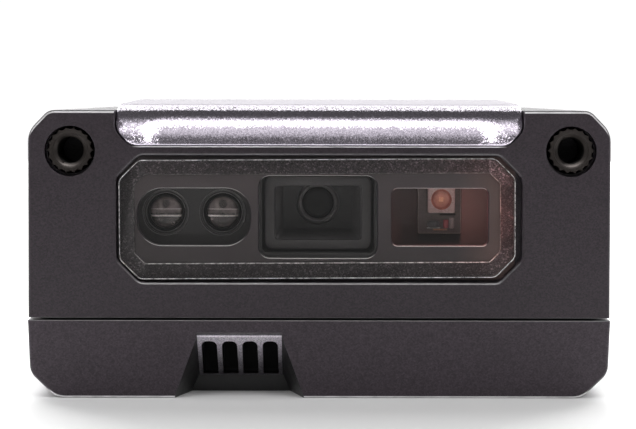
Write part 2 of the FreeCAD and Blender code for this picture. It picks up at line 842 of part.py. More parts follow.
# window recess with a rounded rim
s = sketch(b, "XZ", front)
bevelled(s, num(0), S.win_height, S.win_bed_width, S.win_bed_tall, S.win_bed_bevel, S.win_bed_round)
cut(b, s, S.win_bed_deep)
soften(
    b,
    S.win_edge_round,
    lambda e: within(e, x=(-20.6, 20.6), y=(front.value, front.value), z=(11.0, 24.6)),
)

# three openings in the floor of the recess
floor_y = front + S.win_bed_deep
s = sketch(b, "XZ", floor_y)
for x, w, h, r in (
    (-S.lamp_port_x, S.lamp_port_width, S.lamp_port_tall, S.lamp_port_round),
    (-S.optic_x, S.cam_port_width, S.cam_port_tall, S.cam_port_round),
    (S.aim_port_x, S.aim_port_width, S.aim_port_tall, S.aim_port_round),
):
    rect(s, x - w / 2, x + w / 2, S.port_height - h / 2, S.port_height + h / 2, r)
cut(b, s, S.wall_front - S.win_bed_deep + 0.1)
soften(
    b,
    S.port_edge_round,
    lambda e: within(e, x=(-19, 19), y=(floor_y.value, floor_y.value), z=(13, 23)),
)

# rear opening round the socket
s = sketch(b, "XZ", rear)
rect(s, -S.jack_half - S.jack_gap, S.jack_half + S.jack_gap, up_low - 1, jack_top + S.jack_gap)
cut(b, s, S.wall_rear + 0.2, back=True)


# ---------------------------------------------------------------- top trim

trim_half = S.trim_width / 2
inner_y = front + S.trim_lip_thick
trim_front = front - S.trim_proud
bend_x = Num(
    S.trim_bend_start.value
    + S.trim_bend_round.value * math.tan(math.radians(S.trim_bend_turn.value / 2)),
    "(Dims.trim_bend_start + Dims.trim_bend_round * tan(Dims.trim_bend_turn / 2))",
)
bend_deep = Num(
    (trim_half.value - bend_x.value) * math.tan(math.radians(S.trim_bend_turn.value)),
    "((%s - %s) * tan(Dims.trim_bend_turn))" % (trim_half.text, bend_x.text),
)

b = body("top_cover")
end_y = trim_front + bend_deep
crown_y = (trim_front + S.trim_back) / 2 + bend_deep
shoulder = S.trim_front_top + S.trim_slope * S.trim_slope_long
s = sketch(b, "YZ", -trim_half)
loop(
    s,
    [
        (end_y, S.trim_lip_low),
        (S.trim_back + 3, S.trim_lip_low),
        (S.trim_back + 3, shoulder),
        (crown_y, S.trim_apex),
        (end_y + S.trim_slope_long, shoulder),
        (end_y, S.trim_front_top),
    ],
    {3: S.trim_crown_round, 4: S.trim_slope_round, 5: S.trim_front_round},
)
# the outline follows a path with both ends bent back
path = sketch(b, "XY", S.trim_lip_low)
trail(
    path,
    [(-trim_half, end_y), (-bend_x, trim_front), (bend_x, trim_front), (trim_half, end_y)],
    {1: S.trim_bend_round, 2: S.trim_bend_round},
)
sweep(b, s, path)
# underside and rear
s = sketch(b, "XY", S.trim_inner)
rect(s, -trim_half - 1, trim_half + 1, inner_y, S.trim_back + 6)
cut(b, s, 5.0)
s = sketch(b, "XY", S.trim_apex + 2)
rect(s, -trim_half - 1, trim_half + 1, S.trim_back, S.trim_back + 6)
cut(b, s, 6.0)
soften(
    b,
    0.8,
    lambda e: within(e, y=(S.trim_back.value, S.trim_back.value), z=(28.5, 30.5)) and e.Length > 5,
)
# cut corners of the lip
s = sketch(b, "XZ", trim_front - 0.5)
for side in SIDES:
    loop(
        s,
        [
            (side * (trim_half + 0.5), S.trim_lip_low - 0.5),
            (side * (trim_half + 0.5), S.trim_lip_low + S.trim_corner + 0.5),
            (side * (trim_half - S.trim_corner - 0.5), S.trim_lip_low - 0.5),
        ],
    )
cut(b, s, 4.5)
soften(
    b,
    S.trim_corner_round,
    lambda e: len(e.Vertexes) == 2
    and abs(e.Vertexes[0].Point.x - e.Vertexes[1].Point.x) < 1e-6
    and abs(e.Vertexes[0].Point.z - e.Vertexes[1].Point.z) < 1e-6
    and e.Vertexes[0].Point.z < S.trim_lip_low.value + S.trim_corner.value + 0.01,
)
trim_rim = rim_edges(b, inner_y.value)
soften(b, S.trim_edge, lambda e: any(e.isSame(k) for k in trim_rim))

block(
    "cover_adhesive",
    (-trim_half + 1.2, trim_half - 1.2),
    (front + S.trim_lip_thick + 2.0, S.trim_back - 1.5),
    (seat_height, S.trim_inner),
)


# ---------------------------------------------------------------- window

b = body("window_pane")
pane_face = front + S.pane_sink
s = sketch(b, "XZ", pane_face + S.pane_thick)
bevelled(s, num(0), num(0), S.pane_width, S.pane_tall, S.pane_bevel, S.pane_round)
grow(b, s, S.pane_thick)
soften(
    b,
    S.pane_edge,
    lambda e: within(e, y=(pane_face.value, pane_face.value)),
    "PartDesign::Chamfer",
)
pane_place = Placement(
    Vector(-S.pane_shift.value, 0, S.win_height.value),
    Rotation(Vector(0, -1, 0), S.pane_skew.value),
)
b.Placement = pane_place

b = body("window_gasket")
s = sketch(b, "XZ", front + S.win_bed_deep)
bevelled(s, num(0), num(0), S.pane_width - 0.2, S.pane_tall - 0.2, S.pane_bevel, S.pane_round)
bevelled(
    s,
    num(0),
    num(0),
    S.pane_width - 2 * S.band_width,
    S.pane_tall - 2 * S.band_height,
    S.band_bevel,
    0.3,
)
grow(b, s, S.band_thick)
b.Placement = pane_place


# ---------------------------------------------------------------- threaded inserts

inserts = []
for side, tag in zip(SIDES, ("left", "right")):
    b = doc.addObject("PartDesign::Body", "insert_" + tag)
    s = sketch(b, "XY", 0)
    ring(s, 0, 0, S.insert_radius)
    grow(b, s, S.insert_long)
    s = sketch(b, "XY", 0)
    ring(s, 0, 0, S.insert_bore)
    cut(b, s, S.insert_long, back=True)
    # countersunk mouth and a waist between the two knurled bands
    s = sketch(b, "XZ", 0)
    loop(
        s,
        [
            (S.insert_bore - 0.1, -0.1),
            (S.insert_mouth + 0.1, -0.1),
            (S.insert_mouth, 0),
            (S.insert_bore, S.insert_mouth_deep),
            (S.insert_bore - 0.1, S.insert_mouth_deep),
        ],
    )
    turn(b, s, "V_Axis", groove=True)
    s = sketch(b, "XZ", 0)
    rect(s, S.insert_radius - 0.35, S.insert_radius + 0.2, 2.7, 3.8)
    turn(b, s, "V_Axis", groove=True)
    # knurl
    s = sketch(b, "XY", 0)
    loop(
        s,
        [
            (S.insert_radius - S.knurl_deep, -0.05),
            (S.insert_radius + 0.1, -0.3),
            (S.insert_radius + 0.1, 0.3),
            (S.insert_radius - S.knurl_deep, 0.05),
        ],
    )
    f = cut(b, s, S.insert_long, back=True)
    p = b.newObject("PartDesign::PolarPattern", "knurl_" + tag)
    p.Originals = [f]
    z_axis = [o for o in b.Origin.OriginFeatures if o.Role == "Z_Axis"][0]
    p.Axis = (z_axis, [""])
    p.Angle = 360
    p.Occurrences = 18
    before = volume(b)
    b.Tip = p
    if volume(b) >= before:
        sys.exit("insert: the knurl cut nothing")
    b.Placement = Placement(
        Vector(
            side * S.insert_spread.value / 2 + S.insert_shift.value,
            front.value + S.insert_sink.value,
            S.insert_height.value,
        ),
        AXES["y"],
    )
    inserts.append(b)
group("front_inserts", inserts)


# ---------------------------------------------------------------- seal and screws

b = body("case_gasket")
seal_low = low_top - S.seal_deep
s = sketch(b, "XY", seal_low)
o, i = groove_out + 0.05, groove_in - 0.05
rect(s, -half + o, half - o, front + o, rear - o, 1.5)
rect(s, -half + i, half - i, front + i, rear - i, 0.7)
grow(b, s, up_low - seal_low)
s = sketch(b, "XY", up_low)
rect(s, -S.jack_half - 0.6, S.jack_half + 0.6, rear - 4, rear + 1)
cut(b, s, 3)


def screw(label, axis, centre, seat, way, head, head_tall, shank, long):
    """A cross-recessed screw. The shank leaves the seat towards way, the head stands the other way."""
    seat, head_tall, long = num(seat), num(head_tall), num(long)

    def at(along):
        u, v = centre
        return {"z": (u, v, along), "y": (u, along, v)}[axis]

    shank_from = seat if way > 0 else seat - long
    head_from = seat - head_tall if way > 0 else seat
    top = head_from if way > 0 else head_from + head_tall - 0.7
    whole = fuse(
        label + "_blank",
        [
            rod(label + "_shank", axis, at(shank_from), shank, long),
            rod(label + "_head", axis, at(head_from), head, head_tall),
        ],
    )
    arm = num(head) * 0.62
    slots = []
    for k, (a, c) in enumerate(((arm, 0.24), (0.24, arm))):
        u, v = num(centre[0]), num(centre[1])
        spans = [(u - a, u + a), (v - c, v + c)]
        along = (top, top + 0.7)
        x, y, z = (spans[0], spans[1], along) if axis == "z" else (spans[0], along, spans[1])
        slots.append(block("%s_slot_%d" % (label, k), x, y, z, keep=False))
    return minus(label, whole, fuse(label + "_cross", slots))


group(
    "case_screws",
    [
        screw(
            "case_screw_%d" % k, "z", at, S.screw_sink_deep, 1,
            S.screw_head, S.screw_head_tall, S.screw_shank, S.screw_long,
        )
        for k, at in enumerate(four(S.screw_x, S.screw_front, S.screw_back))
    ],
)


# ---------------------------------------------------------------- optics frame

b = body("optics_chassis")
chassis_rear = -S.optic_back
chassis_front = -S.optic_front
s = sketch(b, "XZ", chassis_rear)
rect(s, -S.optic_half, S.optic_half, S.optic_low, S.optic_high, 0.8)
grow(b, s, S.optic_front - S.optic_back)
# ears
s = sketch(b, "XZ", -S.ear_front + S.ear_thick)
for side in SIDES:
    rect(s, side * (S.optic_half - 0.5), side * (S.ear_x + 2.3), S.ear_height - 2.4, S.ear_height + 2.4)
grow(b, s, S.ear_thick)
s = sketch(b, "XZ", -S.ear_front)
for side in SIDES:
    ring(s, side * S.ear_x, S.ear_height, 1.1)
cut(b, s, S.ear_thick)
# illumination pocket, stepped lens seats and the lamp board's bay
lamp_floor = -S.lamp_floor
lamp_bay = num(-20.4)
s = sketch(b, "XZ", chassis_front)
rect(s, -S.lamp_port_x - 6.4, -S.lamp_port_x + 6.2, S.lamp_height - 3.4, S.lamp_height + 3.4, 2.9)
cut(b, s, S.optic_front - S.lamp_floor)
for radius, deep in (
    (S.lamp_ring, num(0.35)),
    (S.lamp_step, num(0.7)),
    (S.lamp_lens + 0.04, S.lamp_floor + lamp_bay + 0.1),
):
    s = sketch(b, "XZ", lamp_floor)
    for x in (-S.lamp_left, -S.lamp_right):
        ring(s, x, S.lamp_height, radius)
    cut(b, s, deep)
s = sketch(b, "XZ", chassis_rear)
rect(s, -18.5, -6.9, S.lamp_height - 3.0, S.lamp_height + 3.0, 0.5)
cut(b, s, chassis_rear - lamp_bay, back=True)
# camera tunnel and the way for the lens
s = sketch(b, "XZ", chassis_front)
rect(
    s,
    -S.optic_x - S.hood_width / 2 - 0.25,
    -S.optic_x + S.hood_width / 2 + 0.25,
    S.hood_height - S.hood_tall / 2 - 0.25,
    S.hood_height + S.hood_tall / 2 + 0.25,
    0.6,
)
cut(b, s, S.optic_front - S.hood_back)
s = sketch(b, "XZ", -S.hood_back)
ring(s, -S.optic_x, S.lens_height, S.lens_body + 0.2)
cut(b, s, S.hood_back - S.optic_back + 0.1)
# aiming pocket and the slot that holds the aiming board from above
aim_low = S.port_height - 3.45
aim_high = S.port_height + 3.45
s = sketch(b, "XZ", chassis_front)
rect(s, S.aim_port_x - 5.4, S.aim_port_x + 5.4, aim_low, aim_high, 0.8)
cut(b, s, S.optic_front - S.aim_plane + 1.4)
aim_mid = S.aim_led_x - 0.15
s = sketch(b, "XY", S.optic_high)
rect(
    s,
    aim_mid - S.aim_board_width / 2 - 0.04,
    aim_mid + S.aim_board_width / 2 + 0.04,
    -S.aim_plane - 0.04,
    -S.aim_plane + 0.84,
)
cut(b, s, S.optic_high - aim_high + 0.2)
# stand-offs for the sensor board
s = sketch(b, "XZ", chassis_rear - 0.5)
for side in SIDES:
    ring(s, side * 9.0, S.optic_low + 1.4, 1.35)
grow(b, s, -S.sensor_plane - chassis_rear + 0.5, back=True)
s = sketch(b, "XZ", -S.sensor_plane)
for side in SIDES:
    ring(s, side * 9.0, S.optic_low + 1.4, 0.56)
cut(b, s, 5.0, back=True)

group(
    "engine_screws",
    [
        screw(
            "engine_screw_%d" % k, "y", (side * S.ear_x, S.ear_height),
            -S.ear_front + S.ear_thick, -1, 1.6, 1.1, 0.8, 5.6,
        )
        for k, side in enumerate(SIDES)
    ],
)

# lamps
for tag, x in (("left", S.lamp_left), ("right", S.lamp_right)):
    b = body("illumination_lens_" + tag)
    s = sketch(b, "XZ", lamp_floor + 3.2)
    ring(s, -x, S.lamp_height, S.lamp_lens)
    grow(b, s, 2.95)
    lens_face = lamp_floor.value + 0.25
    soften(b, 0.6, lambda e: within(e, y=(lens_face, lens_face)))
block(
    "illumination_board",
    (-18.3, -7.1),
    (lamp_bay, lamp_bay + 1.0),
    (S.lamp_height - 2.85, S.lamp_height + 2.85),
)
group(
    "illumination_leds",
    [
        block(
            "illumination_led_" + tag,
            (-x - 1.0, -x + 1.0),
            (lamp_bay - 0.8, lamp_bay),
            (S.lamp_height - 1.0, S.lamp_height + 1.0),
            keep=False,
        )
        for tag, x in (("left", S.lamp_left), ("right", S.lamp_right))
    ],
)

# camera hood: a rectangular funnel that ends in a round hole for the lens rim
b = body("camera_hood")
s = sketch(b, "XZ", -S.hood_back)
rect(
    s,
    -S.optic_x - S.hood_width / 2,
    -S.optic_x + S.hood_width / 2,
    S.hood_height - S.hood_tall / 2,
    S.hood_height + S.hood_tall / 2,
    0.8,
)
grow(b, s, S.hood_front - S.hood_back)
mouth = sketch(b, "XZ", -S.hood_front)
rect(
    mouth,
    -S.optic_x - S.hood_in_width / 2,
    -S.optic_x + S.hood_in_width / 2,
    S.hood_height - S.hood_in_tall / 2,
    S.hood_height + S.hood_in_tall / 2,
)
throat = sketch(b, "XZ", -S.hood_back - 1.0)
rect(throat, -S.optic_x - 3.6, -S.optic_x + 3.6, S.lens_height - 2.6, S.lens_height + 2.2)
before = volume(b)
f = b.newObject("PartDesign::SubtractiveLoft", "camera_hood_funnel")
f.Profile = mouth
f.Sections = [throat]
f.Ruled = True
if volume(b) >= before:
    sys.exit("camera_hood: the funnel cut nothing")
s = sketch(b, "XZ", -S.hood_back - 1.2)
ring(s, -S.optic_x, S.lens_height, S.lens_rim + 0.1)
cut(b, s, 1.3)

# lens: a threaded barrel with a rim at the front and two glass elements
b = body("lens_barrel")
s = sketch(b, "XZ", -S.lens_back)
ring(s, -S.optic_x, S.lens_height, S.lens_body)
grow(b, s, S.hood_back - 0.1 - S.lens_back)
s = sketch(b, "XZ", -S.hood_back + 0.1)
ring(s, -S.optic_x, S.lens_height, S.lens_rim)
grow(b, s, S.lens_front - S.hood_back + 0.1)
s = sketch(b, "XZ", -S.lens_front)
ring(s, -S.optic_x, S.lens_height, S.lens_glass + 0.02)
cut(b, s, 1.4)
s = sketch(b, "XZ", -S.lens_front)
ring(s, -S.optic_x, S.lens_height, 1.2)
cut(b, s, 4.0)
s = sketch(b, "XZ", -S.lens_back)
ring(s, -S.optic_x, S.lens_height, 2.2)
cut(b, s, 1.8, back=True)
rim_face = -S.lens_front.value
soften(
    b,
    0.2,
    lambda e: within(e, y=(rim_face, rim_face)),
    "PartDesign::Chamfer",
)


def lens(label, radius, face, thick, dome):
    """A round glass element with one domed face towards the front."""
    b = body(label)
    s = sketch(b, "XZ", face + thick)
    ring(s, -S.optic_x, S.lens_height, radius)
    grow(b, s, thick)
    soften(b, dome, lambda e: within(e, y=(num(face).value, num(face).value)))
    return b


lens("front_lens", S.lens_glass, -S.lens_front + 0.25, num(1.15), 0.5)
lens("rear_lens", num(2.18), -S.lens_back - 1.8, num(1.2), 0.5)

# lens holder, sensor and sensor board
b = body("lens_holder")
s = sketch(b, "XZ", -S.sensor_plane)
rect(s, -S.optic_x - 4.7, -S.optic_x + 4.7, S.lens_height - 4.7, S.lens_height + 4.7, 0.5)
grow(b, s, S.optic_back - S.sensor_plane)
s = sketch(b, "XZ", chassis_rear)
ring(s, -S.optic_x, S.lens_height, S.lens_body + 0.04)
cut(b, s, S.optic_back - S.sensor_plane)
s = sketch(b, "XZ", -S.sensor_plane)
rect(s, -S.optic_x - 3.6, -S.optic_x + 3.6, S.lens_height - 3.2, S.lens_height + 3.2, 0.4)
cut(b, s, 1.3, back=True)
block(
    "image_sensor",
    (-S.optic_x - 3.0, -S.optic_x + 3.0),
    (-S.sensor_plane - 1.1, -S.sensor_plane),
    (S.lens_height - 2.5, S.lens_height + 2.5),
)
b = body("sensor_board")
s = sketch(b, "XZ", -S.sensor_plane + 1.0)
rect(s, -11.0, 12.2, S.optic_low, S.optic_high - 0.2, 0.5)
for side in SIDES:
    ring(s, side * 9.0, S.optic_low + 1.4, 0.7)
grow(b, s, 1.0)
sensor_back = -S.sensor_plane + 1.0
group(
    "sensor_screws",
    [
        screw(
            "sensor_screw_%d" % k, "y", (side * 9.0, S.optic_low + 1.4),
            sensor_back, -1, 1.15, 0.9, 0.52, 5.0,
        )
        for k, side in enumerate(SIDES)
    ],
)
b = body("sensor_connector")
s = sketch(b, "XZ", sensor_back)
rect(s, -1.0, 8.0, 15.6, 18.4)
grow(b, s, 1.4, back=True)
s = sketch(b, "XY", 15.6)
rect(s, -0.6, 7.6, sensor_back + 0.6, sensor_back + 0.9)
cut(b, s, 1.8, back=True)

# aiming lamp
block(
    "aimer_board",
    (aim_mid - S.aim_board_width / 2, aim_mid + S.aim_board_width / 2),
    (-S.aim_plane, -S.aim_plane + 0.8),
    (S.aim_board_low, S.optic_high),
)
b = body("aimer_led")
s = sketch(b, "XZ", -S.aim_plane)
led = S.aim_led_size / 2
rect(s, S.aim_led_x - led, S.aim_led_x + led, S.aim_led_height - led, S.aim_led_height + led, 0.15)
grow(b, s, 1.0)
s = sketch(b, "XZ", -S.aim_plane - 1.0)
ring(s, S.aim_led_x, S.aim_led_height, 1.05)
cut(b, s, 0.35)
group(
    "aimer_resistors",
    [
        block(
            "aimer_resistor",
            (S.aim_led_x - 1.45, S.aim_led_x + 0.15),
            (-S.aim_plane - 0.45, -S.aim_plane),
            (S.aim_board_low + 0.55, S.aim_board_low + 1.35),
            keep=False,
        ),
        block(
            "aimer_capacitor",
            (S.aim_led_x + 0.45, S.aim_led_x + 1.45),
            (-S.aim_plane - 0.5, -S.aim_plane),
            (S.aim_board_low + 0.55, S.aim_board_low + 1.15),
            keep=False,
        ),
    ],
)


# ---------------------------------------------------------------- decoder board

b = body("main_board")
s = sketch(b, "XY", S.board_low)
rect(s, -S.board_half, S.board_half, -S.board_front, S.board_back, 1.0)
for x, y in four(S.post_x, S.post_front, S.post_back):
    ring(s, x, y, 1.05)
grow(b, s, S.board_thick)
group(
    "board_screws",
    [
        screw("board_screw_%d" % k, "z", at, board_top, -1, 1.7, 1.1, 0.8, 4.4)
        for k, at in enumerate(four(S.post_x, S.post_front, S.post_back))
    ],
)
block("processor_chip", (1.0, 12.0), (1.5, 12.5), (board_top, board_top + 1.2))
block("memory_chip", (-13.0, -6.0), (-4.0, 6.0), (board_top, board_top + 1.0))
group(
    "capacitors",
    [
        rod("capacitor_%d" % k, "z", (-13.2, y, board_top), 2.0, 5.8)
        for k, y in enumerate((19.0, 24.2))
    ],
)

b = body("flex_connector")
s = sketch(b, "XY", board_top)
rect(s, -1.0, 8.0, -4.5, -1.5)
grow(b, s, 1.8)
s = sketch(b, "XZ", -4.5)
rect(s, -0.6, 7.6, board_top + 0.85, board_top + 1.15)
cut(b, s, 2.0)
b = body("flex_cable")
ribbon_y = sensor_back + 0.65
s = sketch(b, "YZ", -0.5)
loop(
    s,
    [
        (ribbon_y, 17.2),
        (ribbon_y, board_top + 0.9),
        (-2.7, board_top + 0.9),
        (-2.7, board_top + 1.1),
        (ribbon_y + 0.2, board_top + 1.1),
        (ribbon_y + 0.2, 17.2),
    ],
    {1: 2.7, 4: 2.5},
)
grow(b, s, 8.0)

# modular socket: plug space, latch way and eight spring contacts
b = body("modular_jack")
s = sketch(b, "XZ", S.jack_front)
rect(s, -S.jack_half, S.jack_half, board_top, jack_top)
grow(b, s, S.jack_back - S.jack_front, back=True)
plug_low = board_top + 2.9
plug_high = board_top + 11.2
s = sketch(b, "XZ", S.jack_back)
loop(
    s,
    [
        (-5.95, plug_low),
        (-3.2, plug_low),
        (-3.2, plug_low - 1.5),
        (3.2, plug_low - 1.5),
        (3.2, plug_low),
        (5.95, plug_low),
        (5.95, plug_high),
        (-5.95, plug_high),
    ],
)
cut(b, s, 14.1, back=True)
mouth_y = S.jack_back.value
soften(
    b,
    0.3,
    lambda e: within(e, x=(-6, 6), y=(mouth_y, mouth_y), z=(plug_low.value - 2, plug_high.value)),
    "PartDesign::Chamfer",
)
contacts = []
for k in range(8):
    b = doc.addObject("PartDesign::Body", "contact_%d" % k)
    s = sketch(b, "YZ", num(k - 3.5) * 1.02 - 0.2)
    loop(
        s,
        [
            (18.2, plug_high),
            (18.2, plug_high - 0.3),
            (27.0, plug_high - 0.3),
            (20.0, plug_high - 3.0),
            (20.2, plug_high - 3.3),
            (27.9, plug_high - 0.4),
            (27.9, plug_high),
        ],
    )
    grow(b, s, 0.4)
    contacts.append(b)
group("jack_contacts", contacts)

# sounder behind the slots
b = body("beeper")
s = sketch(b, "XY", board_top)
ring(s, -S.notch_x, -13.8, S.beeper_radius)
grow(b, s, S.beeper_tall)
s = sketch(b, "XY", board_top + S.beeper_tall)
ring(s, -S.notch_x, -13.8, 1.0)
cut(b, s, 1.2)
beeper_top = board_top.value + S.beeper_tall.value
soften(b, 0.5, lambda e: within(e, z=(beeper_top, beeper_top)) and e.Length > 20)
block(
    "sound_mesh",
    (-S.notch_x - 4.7, -S.notch_x + 4.7),
    (front + S.block_deep, front + S.block_deep + 0.3),
    (S.floor_thick, 7.0),
)


# ---------------------------------------------------------------- checks and files

doc.recompute()
failed = [o.Label for o in doc.Objects if "Invalid" in o.State or "Error" in o.State]
if failed:
    sys.exit("failed objects: " + ", ".join(failed))
labels = [o.Label for o in nodes]
if len(set(labels)) != len(labels) or len(labels) > 60:
    sys.exit("node names clash or are too many")
for o in nodes:
    if o.Shape.isNull() or not o.Shape.isValid() or not o.Shape.Solids:
        sys.exit("bad shape: " + o.Label)
    if any(not k.isClosed() for k in o.Shape.Shells):
        sys.exit("open shell: " + o.Label)
os.makedirs("parts", exist_ok=True)
for o in nodes:
    o.Shape.exportStep(os.path.join("parts", o.Label + ".step"))
    print(o.Label, len(o.Shape.Solids), "solid(s)", round(o.Shape.Volume, 2), "mm3")
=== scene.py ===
import json
import math

import bpy
from mathutils import Matrix, Vector


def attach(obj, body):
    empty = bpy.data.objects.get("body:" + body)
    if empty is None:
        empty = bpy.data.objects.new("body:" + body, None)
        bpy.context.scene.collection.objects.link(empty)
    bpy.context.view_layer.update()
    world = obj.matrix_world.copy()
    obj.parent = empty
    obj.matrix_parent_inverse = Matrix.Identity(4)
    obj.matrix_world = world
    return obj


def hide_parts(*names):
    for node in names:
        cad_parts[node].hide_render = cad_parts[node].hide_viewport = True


# Compact presentation barcode reader on a white table. Metres; the window faces -Y.
# The detail pieces below are drawn in millimetres in the same frame and scaled once.

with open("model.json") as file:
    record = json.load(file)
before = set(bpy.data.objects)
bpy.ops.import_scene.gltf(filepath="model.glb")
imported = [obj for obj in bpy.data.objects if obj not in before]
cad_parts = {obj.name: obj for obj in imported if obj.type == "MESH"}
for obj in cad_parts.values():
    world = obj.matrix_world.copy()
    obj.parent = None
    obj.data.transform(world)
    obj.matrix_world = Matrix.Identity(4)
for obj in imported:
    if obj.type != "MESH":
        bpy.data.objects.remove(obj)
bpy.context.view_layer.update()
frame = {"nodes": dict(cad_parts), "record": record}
nodes = frame["nodes"]
scene = bpy.context.scene
MM = 0.001


# ---------------------------------------------------------------- shader helpers


class Finish:
    """A procedural material: one Principled shader with textures in object space."""

    def __init__(self, name, colour=(0.5, 0.5, 0.5), rough=0.5, metal=0.0, **sockets):
        self.mat = bpy.data.materials.new(name)
        self.mat.use_nodes = True
        self.tree = self.mat.node_tree
        self.tree.nodes.clear()
        self.out = self.add("ShaderNodeOutputMaterial")
        self.main = self.add("ShaderNodeBsdfPrincipled")
        self.link(self.main.outputs["BSDF"], self.out.inputs["Surface"])
        self.main.inputs["Base Color"].default_value = (*colour, 1.0)
        self.main.inputs["Roughness"].default_value = rough
        self.main.inputs["Metallic"].default_value = metal
        for key, value in sockets.items():
            s = self.main.inputs[key.replace("_", " ")]
            s.default_value = (*value, 1.0) if isinstance(value, tuple) else value
        self.place = self.add("ShaderNodeTexCoord").outputs["Object"]

    def add(self, kind, **props):
        n = self.tree.nodes.new(kind)
        for k, v in props.items():
            setattr(n, k, v)
        return n

    def link(self, a, b):
        self.tree.links.new(a, b)

    def put(self, socket, value):
        """Links a socket, or sets it."""
        if hasattr(value, "is_linked"):
            self.link(value, socket)
        elif isinstance(value, tuple) and len(value) == 3 and len(socket.default_value) == 4:
            socket.default_value = (*value, 1.0)
        else:
            socket.default_value = value

    def spread(self, stretch=(1, 1, 1), shift=(0, 0, 0)):
        m = self.add("ShaderNodeMapping")
        m.inputs["Scale"].default_value = stretch
        m.inputs["Location"].default_value = shift
        self.link(self.place, m.inputs["Vector"])
        return m.outputs["Vector"]

    def noise(self, size, detail=2.0, rough=0.5, stretch=(1, 1, 1)):
        """Noise with features of about size metres, from 0 to 1."""
        n = self.add("ShaderNodeTexNoise")
        n.inputs["Scale"].default_value = 1.0 / size
        n.inputs["Detail"].default_value = detail
        n.inputs["Roughness"].default_value = rough
        self.link(self.spread(stretch), n.inputs["Vector"])
        return n.outputs["Fac"]

    def cells(self, size, out="Color"):
        n = self.add("ShaderNodeTexVoronoi")
        n.inputs["Scale"].default_value = 1.0 / size
        self.link(self.place, n.inputs["Vector"])
        return n.outputs[out]

    def one(self, colour, channel="Red"):
        """One channel of a colour."""
        n = self.add("ShaderNodeSeparateColor")
        self.link(colour, n.inputs["Color"])
        return n.outputs[channel]

    def axis(self, letter):
        """One object coordinate, in metres."""
        n = self.add("ShaderNodeSeparateXYZ")
        self.link(self.place, n.inputs[0])
        return n.outputs[letter]

    def ramp(self, fac, low, high, a=0.0, b=1.0):
        """Maps fac from low..high to a..b, held at both ends."""
        n = self.add("ShaderNodeMapRange")
        n.inputs["From Min"].default_value = low
        n.inputs["From Max"].default_value = high
        n.inputs["To Min"].default_value = a
        n.inputs["To Max"].default_value = b
        self.link(fac, n.inputs["Value"])
        return n.outputs["Result"]

    def math(self, op, a, b=0.5, c=0.5):
        n = self.add("ShaderNodeMath", operation=op)
        self.put(n.inputs[0], a)
        self.put(n.inputs[1], b)
        self.put(n.inputs[2], c)
        return n.outputs[0]

    def mix(self, fac, a, b):
        n = self.add("ShaderNodeMix", data_type="RGBA")
        self.put(n.inputs[0], fac)
        self.put(n.inputs[6], a)
        self.put(n.inputs[7], b)
        return n.outputs[2]

    def times(self, colour, tone):
        """A plain colour scaled by a varying number."""
        n = self.add("ShaderNodeVectorMath", operation="SCALE")
        n.inputs[0].default_value = colour
        self.link(tone, n.inputs["Scale"])
        return n.outputs[0]

    def level(self, n):
        """How nearly an edge of the front or rear runs level: 1 along the top or bottom, 0 at the sides."""
        rest = self.math("SQRT", self.math("MAXIMUM", self.math("SUBTRACT", 1.0, self.math("MULTIPLY", n.outputs["Y"], n.outputs["Y"])), 0.0001))
        return self.math("DIVIDE", self.math("ABSOLUTE", n.outputs["Z"]), rest)

    def colour(self, value):
        self.put(self.main.inputs["Base Color"], value)

    def rough(self, value):
        self.put(self.main.inputs["Roughness"], value)

    def bump(self, height, distance, strength=1.0):
        n = self.add("ShaderNodeBump")
        n.inputs["Distance"].default_value = distance
        n.inputs["Strength"].default_value = strength
        self.link(height, n.inputs["Height"])
        if self.main.inputs["Normal"].is_linked:
            before = self.main.inputs["Normal"].links[0].from_socket
            self.link(before, n.inputs["Normal"])
        self.link(n.outputs["Normal"], self.main.inputs["Normal"])

    def flakes(self, size, tilt, steep=0.0):
        """Tilts the surface a little at random, one tilt for each flake; a few flakes lie steeper."""
        rand = self.add("ShaderNodeVectorMath", operation="SUBTRACT")
        self.link(self.cells(size), rand.inputs[0])
        rand.inputs[1].default_value = (0.5, 0.5, 0.5)
        small = self.add("ShaderNodeVectorMath", operation="SCALE")
        self.link(rand.outputs[0], small.inputs[0])
        small.inputs["Scale"].default_value = tilt
        if steep:
            square = self.add("ShaderNodeVectorMath", operation="MULTIPLY")
            self.link(rand.outputs[0], square.inputs[0])
            self.link(rand.outputs[0], square.inputs[1])
            cube = self.add("ShaderNodeVectorMath", operation="MULTIPLY")
            self.link(square.outputs[0], cube.inputs[0])
            self.link(rand.outputs[0], cube.inputs[1])
            more = self.add("ShaderNodeVectorMath", operation="MULTIPLY_ADD")
            self.link(cube.outputs[0], more.inputs[0])
            more.inputs[1].default_value = (steep, steep, steep)
            self.link(small.outputs[0], more.inputs[2])
            small = more
        whole = self.add("ShaderNodeVectorMath", operation="ADD")
        self.link(self.add("ShaderNodeNewGeometry").outputs["Normal"], whole.inputs[0])
        self.link(small.outputs[0], whole.inputs[1])
        unit = self.add("ShaderNodeVectorMath", operation="NORMALIZE")
        self.link(whole.outputs[0], unit.inputs[0])
        self.link(unit.outputs[0], self.main.inputs["Normal"])

    def see_through(self, share):
        """Lets a share of the light straight through."""
        through = self.add("ShaderNodeBsdfTransparent")
        both = self.add("ShaderNodeMixShader")
        both.inputs[0].default_value = share
        self.link(self.main.outputs[0], both.inputs[1])
        self.link(through.outputs[0], both.inputs[2])
        self.link(both.outputs[0], self.out.inputs["Surface"])


